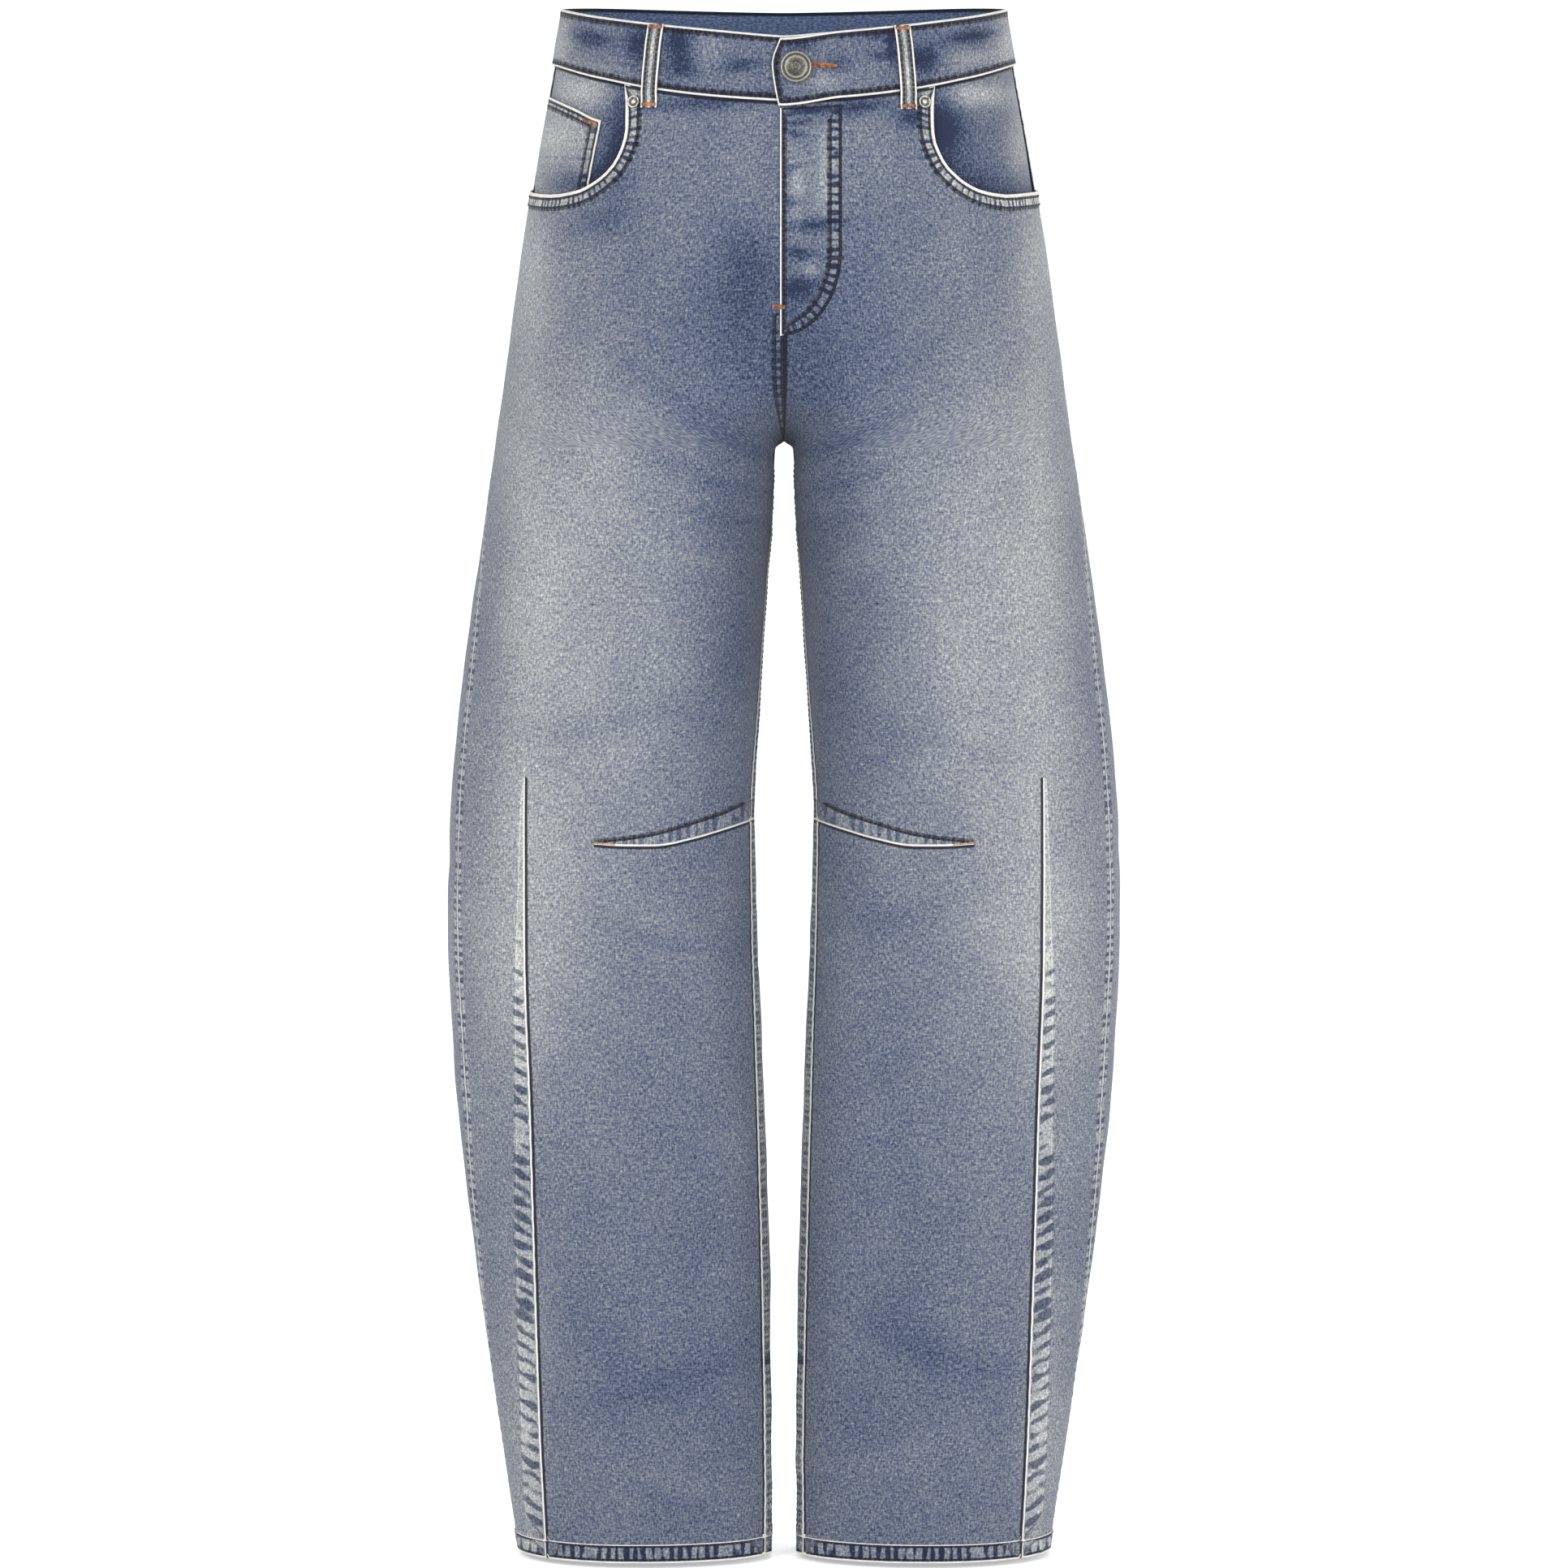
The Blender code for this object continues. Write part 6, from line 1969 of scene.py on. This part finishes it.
button_metal = make_metal("antique_silver", (0.27, 0.265, 0.23, 1.0), (0.045, 0.045, 0.035, 1.0), 0.66, 1.02)
rivet_metal = make_metal("worn_silver", (0.52, 0.51, 0.47, 1.0), (0.05, 0.05, 0.042, 1.0), 0.46, 0.66)
for piece, metal in zip(metal_pieces, (button_metal, rivet_metal, rivet_metal)):
    piece.data.materials.append(metal)
    print(piece.name, "is", metal.name)

# %% [markdown]
# ## Stitches
# Each stitch is a short, fat grain of thread that lies half in the cloth. A row follows a line on a piece: it
# is measured once, and a stitch is set down every few millimetres, turned along it. Tacks are the same grains
# packed side by side. Charcoal thread sews the seams, copper thread the tacks. One small ball gives the grain
# its points and faces, which are repeated as arrays, because thousands of objects would be slow.

# %% One row of stitches
STITCH = (0.0024, 0.00062, 0.0004)
FELL_STITCH = (0.0025, 0.0014, 0.0006)
THIN_TACK = (0.002, 0.0007, 0.0005)
TACK_PITCH = 0.00078
LEG_MIDDLE = 0.1
SUNK = 0.2
PLACE_STEP = (0.002, 0.0004)
GRID_STEP = (0.4, 0.4)
LOOP_STEP = (0.4, 0.3)
grain_shape = bmesh.new()
bmesh.ops.create_uvsphere(grain_shape, u_segments=6, v_segments=3, radius=1)
grain_points = np.array([vert.co[:] for vert in grain_shape.verts])
grain_faces = [[vert.index for vert in face.verts] for face in grain_shape.faces]
grain_shape.free()
grains = {"charcoal": [], "copper": []}


def sew(surface, first, second, thread="charcoal", pitch=PITCH, size=STITCH, across=False, step=PLACE_STEP):
    """Sews a row along the places (first, second) on a surface, which gives points for such places."""
    first, second = np.broadcast_arrays(np.asarray(first, float), np.asarray(second, float))
    drawn = surface(first, second)
    run = np.concatenate([[0.0], np.cumsum(np.linalg.norm(np.diff(drawn, axis=0), axis=-1))])
    at = np.arange(pitch / 2, run[-1], pitch)
    middle_first, middle_second = np.interp(at, run, first), np.interp(at, run, second)
    before, after = (
        np.stack([np.interp(at + shift, run, drawn[:, k]) for k in range(3)], axis=-1)
        for shift in (-pitch / 4, pitch / 4)
    )
    lengthwise = unit(after - before)
    middle = surface(middle_first, middle_second)
    one = surface(middle_first + step[0], middle_second) - surface(middle_first - step[0], middle_second)
    two = surface(middle_first, middle_second + step[1]) - surface(middle_first, middle_second - step[1])
    outward = unit(np.cross(one, two))
    centre = np.stack([np.sign(middle[:, 0]) * LEG_MIDDLE, np.zeros(len(at)), middle[:, 2]], axis=-1)
    outward = outward * np.sign((outward * (middle - centre)).sum(axis=-1, keepdims=True))
    sideways = unit(np.cross(outward, lengthwise))
    long_way, sideways_of = (sideways, lengthwise) if across else (lengthwise, sideways)
    axes = np.stack([sideways_of * size[1] / 2, outward * size[2] / 2, long_way * size[0] / 2], axis=1)
    grains[thread].append(grain_points @ axes + (middle + outward * size[2] * SUNK)[:, None])


def on_grid(points):
    """A surface from a piece's grid of points, whose places are fractions of rows and of columns."""
    rows, columns = points.shape[0] - 1, points.shape[1] - 1

    def surface(row, column):
        row, column = np.clip(row, 0, rows - 1e-6), np.clip(column, 0, columns - 1e-6)
        r, c = row.astype(int), column.astype(int)
        down, right = (row - r)[:, None], (column - c)[:, None]
        upper = mix(points[r, c], points[r, c + 1], right)
        lower = mix(points[r + 1, c], points[r + 1, c + 1], right)
        return mix(upper, lower, down)

    return surface


def on_front(side):
    """A surface from a front's raised outside, whose places are shares and heights."""
    return lambda share, z: on_panel(side, True, share, z, front_facts(side, share, z)[1])


def on_back(side, yoke=False):
    """The same from a back or a yoke."""
    return lambda share, z: on_panel(side, False, share, z, back_facts(side, share, z, yoke)[1])


def offset_line(line, away):
    """A line of points moved sideways, to its right as it is followed with z up."""
    ahead = unit(np.gradient(line, axis=0))
    return line + away * np.stack([ahead[:, 1], -ahead[:, 0]], axis=-1)


def count_stitches():
    return sum(len(row) for rows_of in grains.values() for row in rows_of)


# %% Sew the fronts
DENSE = 260
copper_tack = {"thread": "copper", "pitch": TACK_PITCH, "size": (0.003, 0.0008, 0.0005), "across": True}

for half_side in (-1, +1):
    surface = on_front(half_side)
    scoop = scoop_line(half_side, 140)
    scoop_chart = in_metres(half_side, scoop)
    for away in (0.003, POCKET_BAND - 0.0008):
        moved = offset_line(scoop_chart, away)
        moved = moved[moved[:, 1] < waist_seam(True, scoop[-1, 0]) - 0.006]
        sew(surface, moved[:, 0] / width_at(half_side, True, moved[:, 1]), moved[:, 1])
    knee_end = share_of_x(half_side, True, -0.534, KNEE_DART_TIP - 0.004)
    share = np.linspace(0.998, knee_end, 120)
    below, above = (knee_line(half_side, line, share=share) for line in (BELOW, ABOVE))
    wide_enough = above - below > 0.004
    sew(surface, share[wide_enough], (above - 0.0009)[wide_enough])
    tip = np.linspace(knee_end + 0.016 / 0.3, knee_end - 0.004 / 0.3, 20)
    tip_z = knee_line(half_side, BELOW, share=tip)
    for lift in (0.0007, 0.0015):
        sew(surface, tip, tip_z + lift, "copper", 0.0018, THIN_TACK)
    z = np.linspace(FELL_TOP - 0.004, HEM_TOP, DENSE)
    width = width_at(half_side, True, z)
    for away in (0.0044, 0.0086):
        sew(surface, 1.0 - (FELL_BAND - away) / width, z, pitch=0.0036, size=FELL_STITCH)
    share = np.linspace(0.002, 0.998, DENSE)
    sew(surface, share, HEM_TOP - 0.0008)
    share = 1.0 - np.linspace(0.0078, 0.0008, 12) / float(width_at(half_side, True, HEM_TOP))
    sew(surface, share, HEM_TOP + 0.0006, "copper", 0.0023, THIN_TACK)
z = np.linspace(FLY_END - 0.003, -0.262, 60)
for away in (0.0008, 0.0058):
    sew(on_front(-1), 1.0 - away / width_at(-1, True, z), z)
print("stitches with the fronts sewn:", count_stitches())

# %% Sew the fly
def on_fly(x, z):
    """The fly flap's outside, or the front beside it, at a place seen from the front."""
    share = share_of_x(+1, True, z, np.abs(x))
    ease = smoothstep((FLY_WIDTH - x) / 0.03) * smoothstep((x - FLY_EDGE) / 0.001 + 1.0)
    return front_point(x, z, front_facts(+1, share, z)[1] + mix(0.0002, FLY_RISE, ease))


for away in (0.001, 0.0075):
    moved = offset_line(j_line, away)
    sew(on_fly, moved[:, 0], moved[:, 1])
z = np.linspace(-0.048, -0.174, 90)
sew(on_fly, FLY_EDGE + 0.0021, z)
tack_x = np.linspace(-0.0078, 0.0005, 12)
sew(on_fly, tack_x, -0.1769, "copper", TACK_PITCH, (0.0038, 0.0008, 0.0005), True)
tack_x = np.linspace(0.03, 0.0395, 12)
sew(on_fly, tack_x, -0.145, pitch=0.0008, size=(0.0022, 0.0008, 0.0005), across=True)
print("stitches with the fly sewn:", count_stitches())

# %% Sew the waistband and the belt loops
def on_lapping_end(x, z):
    """The outside of the waistband's lapping end, round its buttonhole."""
    return front_point(x, z, BAND_OUT + LIFT * smoothstep((0.075 - x) / 0.045) + 0.0003)


band_surface = on_grid(band_outside)
band_columns = np.linspace(8.6, len(turns) - 2, 1200)
band_deeps = np.interp(band_columns, np.arange(len(turns)), band_deep[0])
for part in (0.0022 / band_deeps, 1 - 0.0023 / band_deeps):
    sew(band_surface, np.interp(part, parts, np.arange(len(parts))), band_columns, step=GRID_STEP)
end_rows = np.linspace(1.5, len(parts) - 2.5, 60)
end_columns = [np.interp(0.0023, from_end[int(row)], np.arange(len(turns))) for row in end_rows]
sew(band_surface, end_rows, end_columns, step=GRID_STEP)
for lift, droop in ((+0.0013, -0.0016), (-0.0013, +0.0004)):
    hole_x = np.linspace(BUTTON_PLACE[0] + 0.0085, 0.035, 30)
    hole_z = BUTTON_PLACE[1] + 0.0016 + lift + np.linspace(0, droop, 30)
    sew(on_lapping_end, hole_x, hole_z, "copper", 0.00075, (0.0021, 0.0008, 0.0006), True)
for loop_points in loop_grids:
    surface = on_grid(loop_points)
    last_row, last_column = loop_points.shape[0] - 1, loop_points.shape[1] - 1
    for column in (2.9, last_column - 2.9):
        sew(surface, np.linspace(2.2, last_row - 2.2, 60), column, step=LOOP_STEP)
    for row in (1.2, last_row - 1.5):
        tack_columns = np.linspace(1.2, last_column - 1.2, 20)
        sew(surface, row, tack_columns, step=LOOP_STEP, **copper_tack)

# %% Sew the coin pocket
coin_surface = on_grid(coin_outside)
coin_last = coin_outside.shape[1] - 1
side_row = coin_last * 0.002 / 0.05
coin_height = coin_z[0] - coin_z[-1]
coin_width = (coin_share * width_at(-1, True, coin_z)).max(axis=1)
down_rows = coin_outside.shape[0] - 1
columns = np.linspace(1, coin_last, 120)
for away in (0.0022, 0.0054):
    rows = away / np.interp(columns, np.arange(coin_last + 1), coin_height) * down_rows
    sew(coin_surface, rows, columns - side_row, step=GRID_STEP)
rows = np.linspace(1.2, down_rows - 5, 80)
for away in (0.0021, 0.0072):
    across = coin_last - away / np.interp(rows, np.arange(down_rows + 1), coin_width) * coin_last
    sew(coin_surface, rows, across, step=GRID_STEP)
corner = np.linspace(coin_last - 6.5, coin_last - 1, 14)
sew(coin_surface, 2.6, corner, step=GRID_STEP, **copper_tack)
print("stitches with the coin pocket sewn:", count_stitches())

# %% Sew the back
share = np.linspace(0.003, 0.997, DENSE)
yoke_z = np.linspace(-0.028, -0.082, 40)
lower_z = np.linspace(-0.096, -0.262, 120)
for half_side in (-1, +1):
    surface = on_back(half_side, yoke=True)
    for lift in (0.0022, 0.0077):
        sew(surface, share, yoke_seam(share) + lift)
    if half_side > 0:
        for away in (0.0019, 0.0067):
            sew(surface, 1 - away / width_at(half_side, False, yoke_z), yoke_z)
            sew(on_back(half_side), 1 - away / width_at(half_side, False, lower_z), lower_z)
    sew(on_back(half_side), share, HEM_TOP - 0.0008)

# %% Sew the back pockets
for patch_points in patch_grids:
    surface = on_grid(patch_points)
    for away in (0.002, 0.0077):
        down_side = np.linspace(away / BACK_POCKET_SIDES, 1 - away / BACK_POCKET_SIDES, 90)
        side_step = away / 0.125
        sides_in = np.interp([side_step, 1 - side_step], patch_columns, np.arange(len(patch_columns)))
        for column in sides_in:
            sew(surface, down_side * (patch_points.shape[0] - 1), column, step=GRID_STEP)
        foot = np.linspace(side_step, 1 - side_step, 120)
        columns = np.interp(foot, patch_columns, np.arange(len(patch_columns)))
        rows = (1 - away * 1.08 / BACK_POCKET_SIDES) * (patch_points.shape[0] - 1)
        sew(surface, rows, columns, step=GRID_STEP)
    hem_row = (POCKET_HEM - 0.0009) / 0.13 * (patch_points.shape[0] - 1)
    columns = np.interp(np.linspace(0.075, 0.925, 100), patch_columns, np.arange(len(patch_columns)))
    sew(surface, hem_row, columns, step=GRID_STEP)

# %% [markdown]
# ## Thread
# Cotton thread is matt, a little worn, and twisted. It needs no image: one noise darkens it in places, and a
# fine one gives the twist. Each colour of thread becomes one mesh, which is quick to draw.

# %% Thread
THREADS = {
    # thread       colour                    darker colour
    "charcoal": ((0.02, 0.02, 0.03, 1.0), (0.006, 0.006, 0.01, 1.0)),
    "copper": ((0.42, 0.15, 0.045, 1.0), (0.12, 0.035, 0.015, 1.0)),
}


def make_thread(name, colour, darker):
    made, tree, shader = new_finish(name)
    places = add_node(tree, "ShaderNodeTexCoord").outputs["Object"]
    worn = eased(tree, noise(tree, places, (420, 420, 420), 2.0), 0.35, 0.65)
    feed(tree, shader.inputs["Base Color"], blend_colours(tree, worn, colour, darker))
    shader.inputs["Roughness"].default_value = 0.75
    shader.inputs["Sheen Weight"].default_value = 0.15
    twist = noise(tree, places, (3200, 3200, 900), 1.0)
    feed(tree, shader.inputs["Normal"], bump_of(tree, twist, 0.5, 0.0001))
    return made


for thread, rows in grains.items():
    stitches = np.concatenate(rows)
    starts = range(0, len(stitches) * len(grain_points), len(grain_points))
    corners = [[start + corner for corner in face] for start in starts for face in grain_faces]
    mesh = bpy.data.meshes.new("thread_" + thread)
    mesh.from_pydata(stitches.reshape(-1, 3), [], corners)
    mesh.shade_smooth()
    mesh.materials.append(make_thread("cotton_" + thread, *THREADS[thread]))
    piece = put_in_scene("thread_" + thread, mesh)
    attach(piece, "root")
    face_outwards(mesh)
    print(thread, "stitches:", len(stitches), "triangles:", made_triangles["thread_" + thread])

# %% [markdown]
# ## The floor's finish, and the end
# Each cloth piece's size, measured on its own form, is kept in sheets as it is made. Every piece hangs from
# one root empty. Here the floor gets pale matt paper with a faint glow, and all the triangles are counted.

# %% Floor finish and the end
floor_finish, _tree, paper = new_finish("studio_paper")
paper.inputs["Base Color"].default_value = (0.9, 0.9, 0.9, 1.0)
paper.inputs["Roughness"].default_value = 0.9
paper.inputs["Emission Color"].default_value = (1.0, 1.0, 1.0, 1.0)
paper.inputs["Emission Strength"].default_value = 0.4
floor_mesh.materials.append(floor_finish)

print("triangles in all:", sum(made_triangles.values()))
